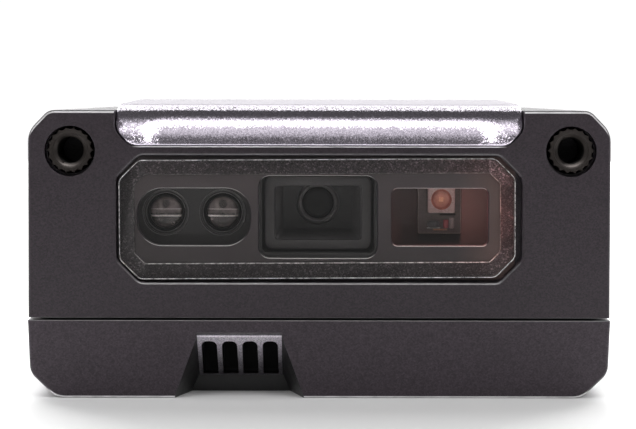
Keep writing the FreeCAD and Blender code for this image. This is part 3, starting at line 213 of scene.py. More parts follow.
def moulded(name, colour, rough=0.5, grain=0.00012, deep=0.000004, sparkle=0.0, fleck=0.14, **more):
    """Moulded plastic: fine grain, a little unevenness and, if asked for, flakes."""
    f = Finish(name, colour, rough, **more)
    tone = f.ramp(f.noise(0.006, 3.0, 0.6), 0.3, 0.7, 0.94, 1.06)
    tone = f.math("MULTIPLY", tone, f.ramp(f.one(f.cells(grain)), 0.0, 1.0, 1 - fleck, 1 + fleck))
    if sparkle:
        bright = f.ramp(f.one(f.cells(grain * 1.3)), 0.8, 1.0, 0.0, sparkle)
        tone = f.math("ADD", tone, bright)
    f.colour(f.times(colour, tone))
    f.rough(f.ramp(f.noise(0.0009, 3.0), 0.25, 0.75, rough - 0.05, rough + 0.05))
    f.bump(f.noise(grain, 2.0, 0.6), deep)
    return f


def painted_edge_highlights(f, painted_highlight, smooth):
    """Edges of the front, painted lighter as painted highlights along the top and bottom edges, and made smoother:
    faces that turn away from the front or rear.
    """
    n = f.add("ShaderNodeSeparateXYZ")
    f.link(f.add("ShaderNodeNewGeometry").outputs["Normal"], n.inputs[0])
    turn = f.math("ABSOLUTE", n.outputs["Y"])
    edge = f.math("MULTIPLY", f.ramp(turn, 0.2, 0.4), f.ramp(turn, 0.8, 0.95, 1.0, 0.0))
    edge = f.math("MULTIPLY", edge, f.ramp(f.level(n), 0.5, 0.9))
    edge = f.math("MULTIPLY", edge, f.ramp(f.noise(0.0012, 3.0, 0.6), 0.3, 0.7, 0.5, 1.0))
    before = f.main.inputs["Base Color"].links[0].from_socket
    f.colour(f.mix(edge, before, painted_highlight))
    before = f.main.inputs["Roughness"].links[0].from_socket
    f.rough(f.math("MULTIPLY_ADD", edge, smooth, before))


def notch_painted_shade(f, dark):
    """Walls and back wall of the sound notch, painted darker as painted shade inside the notch."""
    n = f.add("ShaderNodeSeparateXYZ")
    f.link(f.add("ShaderNodeNewGeometry").outputs["Normal"], n.inputs[0])
    notch_shade = f.ramp(f.math("ABSOLUTE", n.outputs["X"]), 0.2, 0.35)
    near = f.math("ABSOLUTE", f.math("ADD", f.axis("X"), 0.0077))
    notch_shade = f.math("MAXIMUM", notch_shade, f.ramp(f.axis("Y"), -0.0305, -0.0302))
    notch_shade = f.math("MULTIPLY", notch_shade, f.ramp(near, 0.0072, 0.0076, 1.0, 0.0))
    notch_shade = f.math("MULTIPLY", notch_shade, f.ramp(f.axis("Z"), 0.0074, 0.0078, 1.0, 0.0))
    notch_shade = f.math("MULTIPLY", notch_shade, f.ramp(f.axis("Y"), -0.0222, -0.0220, 1.0, 0.0))
    notch_shade = f.math("MULTIPLY", notch_shade, f.ramp(n.outputs["Z"], -0.97, -0.93))
    before = f.main.inputs["Base Color"].links[0].from_socket
    f.colour(f.mix(notch_shade, before, dark))


def foot_highlight(f, painted_highlight):
    """Lower front edge, painted bright as a painted reflection of the white table."""
    n = f.add("ShaderNodeSeparateXYZ")
    f.link(f.add("ShaderNodeNewGeometry").outputs["Normal"], n.inputs[0])
    edge = f.math("MULTIPLY", f.ramp(n.outputs["Z"], -0.5, -0.3, 1.0, 0.0), f.ramp(n.outputs["Z"], -0.92, -0.8))
    edge = f.math("MULTIPLY", edge, f.ramp(n.outputs["Y"], -0.5, -0.3, 1.0, 0.0))
    edge = f.math("MULTIPLY", edge, f.ramp(f.axis("Z"), 0.0006, 0.0009, 1.0, 0.0))
    edge = f.math("MULTIPLY", edge, f.ramp(f.noise(0.0015, 3.0, 0.6), 0.3, 0.6, 0.6, 1.0))
    before = f.main.inputs["Base Color"].links[0].from_socket
    f.colour(f.mix(edge, before, painted_highlight))


def roof_highlights(f, painted_highlight):
    """Front edge of the roof and edge of the trim's seat, painted bright as painted highlights."""
    n = f.add("ShaderNodeSeparateXYZ")
    f.link(f.add("ShaderNodeNewGeometry").outputs["Normal"], n.inputs[0])
    ahead_of = f.math("MULTIPLY", n.outputs["Y"], -1.0)
    top = f.math("MULTIPLY", f.ramp(ahead_of, 0.7, 0.82, 0.0, 0.65), f.ramp(ahead_of, 0.97, 0.99, 1.0, 0.0))
    top = f.math("MULTIPLY", top, f.ramp(n.outputs["Z"], 0.12, 0.2))
    top = f.math("MULTIPLY", top, f.ramp(f.axis("Z"), 0.0262, 0.0268))
    seat = f.math("MULTIPLY", f.ramp(f.axis("Z"), 0.02516, 0.02519), f.ramp(f.axis("Z"), 0.02526, 0.02529, 1.0, 0.0))
    seat = f.math("MULTIPLY", seat, f.ramp(f.axis("Y"), -0.0309, -0.0306, 1.0, 0.0))
    seat = f.math("MULTIPLY", seat, f.ramp(f.math("ABSOLUTE", f.axis("X")), 0.0178, 0.0187, 1.0, 0.0))
    both = f.math("MULTIPLY", f.math("MAXIMUM", top, seat), f.ramp(f.noise(0.0015, 3.0, 0.6), 0.3, 0.6, 0.7, 1.0))
    before = f.main.inputs["Base Color"].links[0].from_socket
    f.colour(f.mix(both, before, painted_highlight))


def window_floor(f, floor_low, floor_up, rim, painted_hood_shade, painted_glow):
    """Floor of the window recess, painted lighter than the case front and lighter again towards the top as painted
    light; pale rims of the openings as painted highlights, brightest where they face up; dark walls round the hood as
    painted shade; and warmth beside the lamp as a painted glow of its light.
    """
    n = f.add("ShaderNodeSeparateXYZ")
    f.link(f.add("ShaderNodeNewGeometry").outputs["Normal"], n.inputs[0])
    inside = f.math("MULTIPLY", f.ramp(f.axis("Y"), -0.02935, -0.02925), f.ramp(f.axis("Y"), -0.0262, -0.0260, 1.0, 0.0))
    for letter, low, high in (("X", -0.0202, 0.0198), ("Z", 0.0117, 0.0243)):
        inside = f.math("MULTIPLY", inside, f.ramp(f.axis(letter), low, low + 0.0002))
        inside = f.math("MULTIPLY", inside, f.ramp(f.axis(letter), high - 0.0002, high, 1.0, 0.0))
    turn = f.math("ABSOLUTE", n.outputs["Y"])
    before = f.main.inputs["Base Color"].links[0].from_socket
    flat = f.math("MULTIPLY", inside, f.ramp(turn, 0.9, 0.97))
    before = f.mix(flat, before, f.mix(f.ramp(f.axis("Z"), 0.0145, 0.0225), floor_low, floor_up))
    glow_side = f.math("MULTIPLY", flat, f.ramp(f.axis("X"), 0.0138, 0.0180))
    before = f.mix(glow_side, before, painted_glow)
    hood = f.math("MULTIPLY", inside, f.ramp(turn, 0.2, 0.35, 1.0, 0.0))
    hood = f.math("MULTIPLY", hood, f.ramp(f.math("ABSOLUTE", f.math("ADD", f.axis("X"), 0.00012)), 0.0064, 0.0067, 1.0, 0.0))
    before = f.mix(hood, before, painted_hood_shade)
    edge = f.math("MULTIPLY", inside, f.math("MULTIPLY", f.ramp(turn, 0.25, 0.4), f.ramp(turn, 0.85, 0.95, 1.0, 0.0)))
    edge = f.math("MULTIPLY", edge, f.ramp(f.level(n), 0.6, 0.9))
    edge = f.math("MULTIPLY", edge, f.ramp(n.outputs["Z"], -0.3, 0.3, 0.6, 1.0))
    f.colour(f.mix(edge, before, rim))


def clear(name, tint, rough, ior=1.5):
    """What isn't mirrored goes straight through."""
    f = Finish(name, tint, rough)
    f.tree.nodes.remove(f.main)
    through = f.add("ShaderNodeBsdfTransparent")
    through.inputs["Color"].default_value = (*tint, 1.0)
    shine = f.add("ShaderNodeBsdfGlossy")
    shine.inputs["Roughness"].default_value = rough
    edge = f.add("ShaderNodeFresnel")
    way = f.add("ShaderNodeNewGeometry").outputs["Backfacing"]
    f.link(f.math("MULTIPLY_ADD", way, 1 / ior - ior, ior), edge.inputs["IOR"])
    both = f.add("ShaderNodeMixShader")
    f.link(edge.outputs[0], both.inputs[0])
    f.link(through.outputs[0], both.inputs[1])
    f.link(shine.outputs[0], both.inputs[2])
    f.link(both.outputs[0], f.out.inputs["Surface"])
    return f


# ---------------------------------------------------------------- materials

case = moulded("case_plastic", (0.0218, 0.0153, 0.0205), 0.42, 0.00013, 0.000004, 0.3, 0.4, Specular_IOR_Level=0.35)
painted_edge_highlights(case, (0.15, 0.145, 0.15), -0.14)
window_floor(case, (0.036, 0.0285, 0.031), (0.060, 0.048, 0.051), (0.55, 0.53, 0.53), (0.004, 0.004, 0.004), (0.11, 0.066, 0.060))
roof_highlights(case, (0.85, 0.83, 0.85))
# the lower half: the same plastic painted lighter than the upper half, as painted light
case_low_painted_light = moulded("case_plastic_low_painted_light", (0.0320, 0.0230, 0.0305), 0.42, 0.00013, 0.000004, 0.3, 0.4, Specular_IOR_Level=0.35)
painted_edge_highlights(case_low_painted_light, (0.15, 0.145, 0.15), -0.14)
notch_painted_shade(case_low_painted_light, (0.019, 0.0185, 0.019))
foot_highlight(case_low_painted_light, (0.95, 0.93, 0.95))

trim = Finish("trim_silver", (0.62, 0.57, 0.65), 0.2, 1.0)
trim.colour(trim.mix(trim.one(trim.cells(0.00011), "Green"), (0.49, 0.45, 0.52), (0.71, 0.65, 0.75)))
# the flat roof is painted darker than the rolled front as painted shade, and made rougher
lie = trim.add("ShaderNodeSeparateXYZ")
trim.link(trim.add("ShaderNodeNewGeometry").outputs["Normal"], lie.inputs[0])
roof_shade_and_rough = trim.ramp(lie.outputs["Z"], 0.97, 0.995)
bare = trim.main.inputs["Base Color"].links[0].from_socket
trim.colour(trim.mix(trim.math("MULTIPLY", roof_shade_and_rough, 0.75), bare, (0.34, 0.315, 0.36)))
trim.rough(trim.math("MULTIPLY_ADD", roof_shade_and_rough, 0.28, trim.ramp(trim.noise(0.0002, 2.0), 0.3, 0.7, 0.12, 0.18)))
trim.flakes(0.00011, 0.09, 0.28)

# adhesive band: dark and speckled, painted paler along the top and darker at its left end, as painted light and shade
band = moulded("gasket_band", (0.026, 0.0215, 0.0238), 0.5, 0.0001, 0.00001, 4.5, 0.95)
band_painted_light = band.math("MULTIPLY", band.ramp(band.axis("Z"), 0.0205, 0.0225, 1.0, 1.8), band.ramp(band.axis("X"), -0.0190, -0.0165, 0.6, 1.0))
toned = band.add("ShaderNodeVectorMath", operation="SCALE")
band.link(band.main.inputs["Base Color"].links[0].from_socket, toned.inputs[0])
band.link(band_painted_light, toned.inputs["Scale"])
band.colour(toned.outputs[0])

FINISHES = {
    "case_plastic": case,
    "trim_silver": trim,
    "adhesive_film": moulded("adhesive_film", (0.30, 0.29, 0.26), 0.6),
    "gasket_band": band,
    "insert_metal": moulded("insert_metal", (0.022, 0.0178, 0.016), 0.42, 0.0001, 0.000003),
    "seal_rubber": moulded("seal_rubber", (0.012, 0.012, 0.012), 0.7),
    "screw_steel": moulded("screw_steel", (0.16, 0.155, 0.15), 0.36),
    "optics_black": moulded("optics_black", (0.0255, 0.0236, 0.0241), 0.46, 0.0001, 0.000003),
    "board_laminate": moulded("board_laminate", (0.012, 0.09, 0.035), 0.4),
    "lamp_white": moulded("lamp_white", (0.42, 0.36, 0.22), 0.4),
    "barrel_black": moulded("barrel_black", (0.17, 0.158, 0.161), 0.42, 0.0001, 0.000003),
    "sensor_face": moulded("sensor_face", (0.02, 0.022, 0.03), 0.15),
    "connector_ivory": moulded("connector_ivory", (0.62, 0.58, 0.47), 0.45),
    "board_dark": moulded("board_dark", (0.105, 0.078, 0.07), 0.42),
    "lamp_amber": moulded("lamp_amber", (0.46, 0.36, 0.34), 0.4),
    "chip_black": moulded("chip_black", (0.018, 0.018, 0.019), 0.5),
    "can_aluminium": moulded("can_aluminium", (0.7, 0.7, 0.7), 0.3),
    "flex_amber": moulded("flex_amber", (0.42, 0.21, 0.03), 0.35),
    "jack_black": moulded("jack_black", (0.02, 0.02, 0.021), 0.4),
    "contact_gold": moulded("contact_gold", (0.8, 0.55, 0.2), 0.25),
    "beeper_black": moulded("beeper_black", (0.02, 0.02, 0.021), 0.42),
    "mesh_black": moulded("mesh_black", (0.008, 0.008, 0.008), 0.8),
    "window_clear": clear("window_clear", (0.965, 0.96, 0.955), 0.03, 1.5),
    "lens_glass": moulded("lens_glass", (0.012, 0.012, 0.014), 0.08, 0.0001, 0.0),
}
# slotted sheet in the notch: brushed duller than the trim, with random grain; painted darker towards its foot as
# painted shade, and lighter on faces turned down and darker on faces turned up as a painted reflection of the table
grille = Finish("grille_silver", (0.5, 0.47, 0.52), 0.4, 1.0)
grain_and_painted_light = grille.ramp(grille.axis("Z"), 0.0030, 0.0058, 0.3, 1.0)
grain_and_painted_light = grille.math("MULTIPLY", grain_and_painted_light, grille.ramp(grille.one(grille.cells(0.00012), "Green"), 0.0, 1.0, 0.7, 1.3))
lie = grille.add("ShaderNodeSeparateXYZ")
grille.link(grille.add("ShaderNodeNewGeometry").outputs["Normal"], lie.inputs[0])
grain_and_painted_light = grille.math("MULTIPLY", grain_and_painted_light, grille.ramp(lie.outputs["Z"], -0.2, 0.2, 1.4, 0.68))
grille.colour(grille.times((0.60, 0.56, 0.62), grain_and_painted_light))
grille.rough(grille.ramp(grille.noise(0.0003, 2.0), 0.3, 0.7, 0.36, 0.46))
grille.flakes(0.00012, 0.16)
# front lens: dark coated glass, its tone varying a little at random
coated = Finish("front_glass", (0.006, 0.006, 0.006), 0.06, Specular_IOR_Level=0.25)
coated.colour(coated.times((0.017, 0.0168, 0.0172), coated.ramp(coated.noise(0.0012, 2.0), 0.3, 0.7, 0.8, 1.4)))
OWN = {"lower_case": case_low_painted_light, "sound_grille": grille, "front_lens": coated}
for name in ("insert_metal", "screw_steel", "can_aluminium", "contact_gold"):
    FINISHES[name].main.inputs["Metallic"].default_value = 1.0
FINISHES["insert_metal"].main.inputs["Metallic"].default_value = 0.7

smoky = moulded("lens_clear", (0.135, 0.115, 0.112), 0.16, 0.0002, 0.0)
smoky.see_through(0.3)
FINISHES["lens_clear"] = smoky

# cut edge of the pane: ground, with bright chips that also serve as painted highlights along the edge
ground = Finish("window_edge", (0.5, 0.5, 0.5), 0.3)
chips_and_glints = ground.ramp(ground.noise(0.0005, 3.0, 0.75), 0.38, 0.60, 0.10, 1.0)
ground.colour(ground.times((0.95, 0.92, 0.92), chips_and_glints))
ground.bump(ground.noise(0.00015, 2.0), 0.00001)

# cut edge of the adhesive band, painted pale in broken dashes as a painted highlight, brightest where it faces up
cut_edge = Finish("band_edge", (0.2, 0.2, 0.2), 0.45)
dashed_highlight = cut_edge.ramp(cut_edge.noise(0.0005, 3.0, 0.7), 0.42, 0.66, 0.08, 0.9)
lie = cut_edge.add("ShaderNodeSeparateXYZ")
cut_edge.link(cut_edge.add("ShaderNodeNewGeometry").outputs["Normal"], lie.inputs[0])
dashed_highlight = cut_edge.math("MULTIPLY", dashed_highlight, cut_edge.ramp(lie.outputs["Z"], 0.1, 0.5, 0.3, 1.0))
cut_edge.colour(cut_edge.times((0.78, 0.73, 0.73), dashed_highlight))
cut_edge.bump(cut_edge.noise(0.0001, 2.0), 0.00001)

# laminate seen at the board's cut edges
laminate = moulded("board_edge", (0.30, 0.26, 0.24), 0.5, 0.00008)

# lamp package, the clear filling that glows, and the die in it
package = moulded("lamp_package", (0.47, 0.345, 0.33), 0.42, 0.0002, 0.000002)
glow = Finish("lamp_fill", (0.42, 0.20, 0.17), 0.25)
deep = glow.ramp(glow.noise(0.0006, 2.0), 0.3, 0.7, 0.7, 1.2)
glow.colour(glow.times((0.36, 0.15, 0.12), deep))
dx = glow.math("SUBTRACT", glow.axis("X"), 0.01263)
dz = glow.math("SUBTRACT", glow.axis("Z"), 0.01963)
out = glow.math("SQRT", glow.math("ADD", glow.math("MULTIPLY", dx, dx), glow.math("MULTIPLY", dz, dz)))
halo = glow.ramp(out, 0.0002, 0.0008, 1.0, 0.0)
glow.put(glow.main.inputs["Emission Color"], glow.mix(halo, (0.16, 0.035, 0.025), (1.0, 0.42, 0.25)))
glow.main.inputs["Emission Strength"].default_value = 0.17
die = Finish("lamp_die", (0.55, 0.25, 0.16), 0.35)
die.colour(die.times((0.55, 0.26, 0.17), die.ramp(die.noise(0.0002, 2.0), 0.3, 0.7, 0.85, 1.15)))
die.main.inputs["Emission Color"].default_value = (1.0, 0.42, 0.25, 1.0)
die.main.inputs["Emission Strength"].default_value = 0.14
# threads inside the inserts painted near black, as painted shade in the deep hole
bore_shade = moulded("insert_bore", (0.003, 0.0026, 0.0023), 0.55, 0.0001, Specular_IOR_Level=0.1)
# near black for grooves and for the gap round the hood: painted shade
groove_shade = moulded("groove_black", (0.0035, 0.0033, 0.0033), 0.6, 0.0001, 0.000003, Specular_IOR_Level=0.1)
# lighter black for ring crests: painted highlight
crest_highlight = moulded("bezel_crest", (0.15, 0.142, 0.144), 0.4, 0.0001, 0.000003)
# lighter black for the hood's face and funnel walls, painted light against their shade; the back wall keeps the
# darker optics black
hood_black_painted_light = moulded("hood_black_painted_light", (0.044, 0.040, 0.0415), 0.46, 0.0001, 0.000003)
tin = moulded("solder_tin", (0.55, 0.52, 0.50), 0.35, 0.0001)
tin.main.inputs["Metallic"].default_value = 0.8
ruby = moulded("chip_red", (0.30, 0.055, 0.062), 0.4)
pale = moulded("chip_pale", (0.30, 0.245, 0.24), 0.4)
copper = moulded("pad_orange", (0.42, 0.20, 0.11), 0.4)
# dark brown strip: painted shade in the gap under the lamp
gap_shade = moulded("gap_painted_shade", (0.016, 0.010, 0.006), 0.6)
pill = moulded("chip_grey", (0.06, 0.055, 0.06), 0.3)


# ---------------------------------------------------------------- mesh helpers


def piece(name, verts, faces, finishes, picks, replaces=(), crease=30):
    """A new piece in millimetres. picks gives each face's finish."""
    m = bpy.data.meshes.new(name)
    m.from_pydata([Vector(v) * MM for v in verts], [], faces)
    for f in finishes:
        m.materials.append(f.mat)
    for poly, pick in zip(m.polygons, picks):
        poly.material_index = pick
        poly.use_smooth = True
    m.validate()
    o = bpy.data.objects.new(name, m)
    scene.collection.objects.link(o)
    if crease:
        split = o.modifiers.new("creases", "EDGE_SPLIT")
        split.split_angle = math.radians(crease)
        even = o.modifiers.new("even", "WEIGHTED_NORMAL")
        even.mode = "FACE_AREA"
        even.weight = 80
        even.keep_sharp = True
    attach(o, "root")
    if replaces:
        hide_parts(*replaces)
    return o


class Build:
    """Collects verts and faces of one piece."""

    def __init__(self):
        self.verts, self.faces, self.picks = [], [], []

    def add(self, points):
        start = len(self.verts)
        self.verts.extend(points)
        return list(range(start, start + len(points)))

    def face(self, ids, pick=0):
        self.faces.append(tuple(ids))
        self.picks.append(pick)

    def bridge(self, a, b, pick=0):
        n = len(a)
        for i in range(n):
            j = (i + 1) % n
            self.face((a[i], a[j], b[j], b[i]), pick)

    def rings(self, loops, picks=0, start=None, end=None, closed=False):
        """Skins loops in turn. start and end cap the first and last loop with that finish."""
        ids = [self.add(p) for p in loops]
        for k in range(len(ids) - 1):
            self.bridge(ids[k], ids[k + 1], picks[k] if isinstance(picks, list) else picks)
        if closed:
            self.bridge(ids[-1], ids[0], picks[-1] if isinstance(picks, list) else picks)
        if start is not None:
            self.face(list(reversed(ids[0])), start)
        if end is not None:
            self.face(ids[-1], end)
        return ids


def bevelled(width, tall, bevel, radius, steps=5):
    """Rectangle with bevelled corners whose ends are rounded, anticlockwise from the right."""
    a, c = width / 2, tall / 2
    pts = [
        (a, -c + bevel), (a, c - bevel), (a - bevel, c), (-a + bevel, c),
        (-a, c - bevel), (-a, -c + bevel), (-a + bevel, -c), (a - bevel, -c),
    ]
    return rounded(pts, radius, steps)


def rounded(pts, radius, steps=6):
    """Rounds each corner of an outline; each corner becomes steps + 1 points."""
    out = []
    n = len(pts)
    for i in range(n):
        p = Vector(pts[i])
        u = (Vector(pts[i - 1]) - p).normalized()
        v = (Vector(pts[(i + 1) % n]) - p).normalized()
        half = math.acos(max(-1, min(1, u.dot(v)))) / 2
        cut = radius / math.tan(half)
        mid = p + (u + v).normalized() * (radius / math.sin(half))
        a, b = p + u * cut - mid, p + v * cut - mid
        for k in range(steps + 1):
            t = k / steps
            d = (a * (1 - t) + b * t).normalized() * radius
            out.append((mid.x + d.x, mid.y + d.y))
    return out


def inset(pts, by):
    """Moves a convex anticlockwise outline inwards."""
    out = []
    n = len(pts)
    for i in range(n):
        p, q, r = Vector(pts[i - 1]), Vector(pts[i]), Vector(pts[(i + 1) % n])
        e, f = (q - p), (r - q)
        if e.length < 1e-9:
            e = f
        if f.length < 1e-9:
            f = e
        e, f = e.normalized(), f.normalized()
        na, nb = Vector((-e.y, e.x)), Vector((-f.y, f.x))
        m = (na + nb).normalized()
        out.append((q.x + m.x * by / max(0.3, m.dot(na)), q.y + m.y * by / max(0.3, m.dot(na))))
    return out


def lay(pts, y, cx=0.0, cz=0.0, turn=0.0):
    """An outline in x and z at a depth y."""
    c, s = math.cos(turn), math.sin(turn)
    return [(cx + x * c - z * s, y, cz + x * s + z * c) for x, z in pts]


def spoked(width, tall, radius, y, cx, cz, n=96, hub=None):
    """A rounded rectangle cut by evenly spaced spokes from a hub, to face round loops."""
    hx, hz = hub if hub else (cx, cz)
    a, c = width / 2, tall / 2
    path = rounded([(a, -c), (a, c), (-a, c), (-a, -c)], radius, 10)
    path = [(cx + px - hx, cz + pz - hz) for px, pz in path]
    out = []
    for k in range(n):
        t = 2 * math.pi * k / n
        dx, dz = math.cos(t), math.sin(t)
        best = None
        for i in range(len(path)):
            (x1, z1), (x2, z2) = path[i - 1], path[i]
            ex, ez = x2 - x1, z2 - z1
            det = dx * -ez + dz * ex
            if abs(det) < 1e-12:
                continue
            far = (x1 * -ez + z1 * ex) / det
            u = (dx * z1 - dz * x1) / det
            if far > 0 and -1e-9 <= u <= 1 + 1e-9:
                best = far if best is None else max(best, far)
        out.append((hx + dx * best, y, hz + dz * best))
    return out


def circle(radius, y, cx, cz, n=64):
    return [
        (cx + radius * math.cos(2 * math.pi * k / n), y, cz + radius * math.sin(2 * math.pi * k / n))
        for k in range(n)
    ]


# ---------------------------------------------------------------- window

SKEW = math.radians(0.36)
PANE = (-0.2, 18.0)


def pane_ring(pts, y):
    return lay(pts, y, PANE[0], PANE[1], SKEW)


edge = bevelled(39.7, 11.97, 2.0, 1.0)
b = Build()
loops = []
for k in range(4):
    t = math.radians(30 * k)
    loops.append(pane_ring(inset(edge, 0.08 * (1 - math.sin(t))), -30.6 + 0.08 * (1 - math.cos(t))))
loops.append(pane_ring(edge, -29.6))
b.rings(loops, 1, 0, 0)
piece("pane", b.verts, b.faces, [FINISHES["window_clear"], ground], b.picks, ["window_pane"])

outer = bevelled(39.5, 11.77, 2.0, 1.0)
inner = bevelled(39.7 - 2 * 1.46, 11.97 - 2 * 1.53, 1.05, 0.3)
b = Build()
b.rings(
    [
        pane_ring(outer, -29.2),
        pane_ring(outer, -29.6),
        pane_ring(inset(inner, -0.09), -29.6),
        pane_ring(inset(inner, -0.03), -29.56),
        pane_ring(inner, -29.48),
        pane_ring(inner, -29.2),
    ],
    [0, 0, 1, 1, 0, 0],
    closed=True,
)
piece("adhesive_band", b.verts, b.faces, [FINISHES["gasket_band"], cut_edge], b.picks, ["window_gasket"])


# ---------------------------------------------------------------- threaded inserts

TEETH = 18


def knurl(radius, deep, share=1.0):
    """Scalloped outline: round hollows between the teeth."""
    pts = []
    n = TEETH * 14
    for k in range(n):
        a = 2 * math.pi * k / n
        phase = (k % 14) / 14.0
        hollow = math.sin(math.pi * phase) ** 0.8
        r = radius - deep * hollow * share
        pts.append((r * math.cos(a), r * math.sin(a)))
    return pts


def round_like(radius, turn=0.0):
    n = TEETH * 14
    return [
        (radius * math.cos(2 * math.pi * k / n + turn), radius * math.sin(2 * math.pi * k / n + turn))
        for k in range(n)
    ]


for x, tag in ((-24.88, "left"), (25.12, "right")):
    b = Build()
    face = -30.85
    z = 24.87

    def at(pts, y):
        return lay(pts, y, x, z)

    loops = [
        at(knurl(2.35, 0.24), -27.95),
        at(knurl(2.35, 0.24), face + 0.10),
        at(knurl(2.32, 0.24), face + 0.04),
        at(knurl(2.26, 0.23), face),
        at(round_like(1.78), face),
        at(round_like(1.72), face + 0.03),
        at(round_like(1.68), face + 0.10),
        at(round_like(1.62), face + 0.12),
        at(round_like(1.34), face + 0.42),
    ]
    turns = 10
    steps = 6
    n = TEETH * 14
    for k in range(turns * steps + 1):
        y0 = face + 0.46 + 0.5 * k / steps
        ring = []
        for i in range(n):
            a = 2 * math.pi * i / n
            phase = (k / steps + i / n) % 1.0
            r = 1.26 + 0.2 * abs(2 * phase - 1)
            ring.append((x + r * math.cos(a), y0, z + r * math.sin(a)))
        loops.append(ring)
    loops += [
        at(round_like(1.5), -24.4),
        at(round_like(1.55), -24.35),
        at(round_like(2.2), -24.35),
        at(knurl(2.35, 0.24), -24.45),
        at(knurl(2.35, 0.24), -27.05),
        at(round_like(2.0), -27.1),
        at(round_like(2.0), -27.9),
    ]
    inside = turns * steps + 1
    b.rings(loops, [0] * 8 + [1] * (inside + 1) + [0] * 8, closed=True)
    piece("front_insert_" + tag, b.verts, b.faces, [FINISHES["insert_metal"], bore_shade], b.picks,
          ["front_inserts"], crease=32)


# ---------------------------------------------------------------- lamp lenses

LAMPS = ((-15.72, "left"), (-9.9, "right"))
# pale lips of the slot across each lens: painted highlights, the lower lip paler
lens_line_highlight = moulded("lens_line_highlight", (0.5, 0.44, 0.45), 0.3, 0.0002, 0.0)
lens_lip_highlight = moulded("lens_lip_highlight", (0.85, 0.77, 0.77), 0.3, 0.0002, 0.0)


def lamp_lens_finish(name, x, z):
    """Clear moulding with the dark gaps of the lamp behind it painted on above and below the slot as painted shade,
    and its upper half painted lighter as painted light.
    """
    f = Finish(name, (0.13, 0.11, 0.108), 0.14)
    across = f.math("SUBTRACT", f.axis("X"), x * MM)
    up = f.math("SUBTRACT", f.axis("Z"), z * MM)
    shade = 1.0
    for cx, cz, rx, rz, dark in ((0.0, 0.85, 0.42, 0.5, 0.7), (0.0, -0.8, 0.36, 0.42, 0.8), (-1.0, 0.55, 0.3, 0.5, 0.35), (1.05, -0.6, 0.35, 0.4, 0.35)):
        u = f.math("MULTIPLY", f.math("SUBTRACT", across, cx * MM), 1 / (rx * MM))
        v = f.math("MULTIPLY", f.math("SUBTRACT", up, cz * MM), 1 / (rz * MM))
        r = f.math("ADD", f.math("MULTIPLY", u, u), f.math("MULTIPLY", v, v))
        shade = f.math("MULTIPLY", shade, f.ramp(r, 0.25, 1.6, 1 - dark, 1.0))
    shade = f.math("MULTIPLY", shade, f.ramp(f.noise(0.0005, 3.0, 0.6), 0.3, 0.7, 0.75, 1.25))
    shade = f.math("MULTIPLY", shade, f.ramp(up, -0.0003, 0.0004, 1.0, 2.2))
    f.colour(f.times((0.128, 0.107, 0.105), shade))
    f.rough(f.ramp(f.noise(0.0004, 2.0), 0.3, 0.7, 0.10, 0.2))
    f.see_through(0.25)
    return f


for x, tag in LAMPS:
    b = Build()
    R, z, face = 1.62, 18.36, -25.25
    # levels from the bottom up: height above the axis and depth below the face
    levels = [(-R * math.cos(math.radians(t)), 0.0) for t in (3, 10, 20, 32, 44, 56, 66)]
    levels += [(-0.28 - 0.17 * (1 - math.sin(math.radians(t))), 0.10 * (1 - math.cos(math.radians(t)))) for t in range(0, 91, 15)]
    levels += [(-0.28, 0.30), (-0.1, 0.34), (0.1, 0.34), (0.28, 0.30)]
    levels += [(0.28 + 0.08 * (1 - math.cos(math.radians(t))), 0.08 * (1 - math.sin(math.radians(t)))) for t in range(0, 91, 22)]
    levels += [(R * math.cos(math.radians(t)), 0.0) for t in (66, 56, 44, 32, 20, 10, 3)]
    cols = 28
    grid = []
    for h, d in levels:
        half = math.sqrt(max(0.0, R * R - h * h))
        row = []
        for i in range(cols + 1):
            u = math.sin(math.pi / 2 * (2 * i / cols - 1))
            px = half * u
            r = math.hypot(px, h) / R
            dome = 0.16 * r ** 2 + 0.30 * r ** 14
            row.append((x + px, face + d * (1 - 0.4 * r ** 6) + dome, z + h))
        grid.append(b.add(row))
    for k in range(len(grid) - 1):
        low, high = levels[k][0], levels[k + 1][0]
        # the slot's lower lip (2) and upper lip (1) take the painted highlights
        line = 2 if -0.47 < low and high < -0.279 else 1 if 0.279 < low and high < 0.362 else 0
        for i in range(cols):
            b.face((grid[k][i], grid[k][i + 1], grid[k + 1][i + 1], grid[k + 1][i]), line if 1 <= i < cols - 1 else 0)
    # side wall and back
    rim = grid[0] + [g[-1] for g in grid[1:-1]] + list(reversed(grid[-1])) + [g[0] for g in reversed(grid[1:-1])]
    back = b.add([(b.verts[i][0], -22.3, b.verts[i][2]) for i in rim])
    b.bridge(back, rim)
    b.face(back)
    piece("lamp_lens_" + tag, b.verts, b.faces, [lamp_lens_finish("lens_clear_" + tag, x, z), lens_line_highlight, lens_lip_highlight], b.picks,
          ["illumination_lens_" + tag], crease=38)

    # fine rings on the stepped seat round the lens, crests painted lighter as painted highlights and grooves painted
    # near black as painted shade
    b = Build()
    steps = [(1.69, -24.8), (1.69, -24.9), (1.74, -24.94), (1.80, -24.94), (1.85, -24.9), (1.88, -24.84), (1.95, -24.82),
             (1.96, -25.16), (1.99, -25.22), (2.04, -25.24), (2.08, -25.2), (2.12, -25.17), (2.17, -25.17), (2.21, -25.22), (2.25, -25.22), (2.27, -25.17),
             (2.28, -25.52), (2.32, -25.57), (2.38, -25.58), (2.43, -25.54), (2.45, -25.5), (2.28, -25.15), (1.96, -24.8)]
    tones = [2, 2, 2, 2, 2, 2, 2, 1, 1, 0, 0, 0, 0, 1, 0, 2, 0, 1, 0, 0, 2, 2, 2]
    b.rings([circle(r, y, x, z, 96) for r, y in steps], tones, closed=True)
    piece("lamp_bezel_" + tag, b.verts, b.faces, [FINISHES["optics_black"], crest_highlight, groove_shade], b.picks)


# ---------------------------------------------------------------- camera hood

HOOD = (-0.12, 18.36)


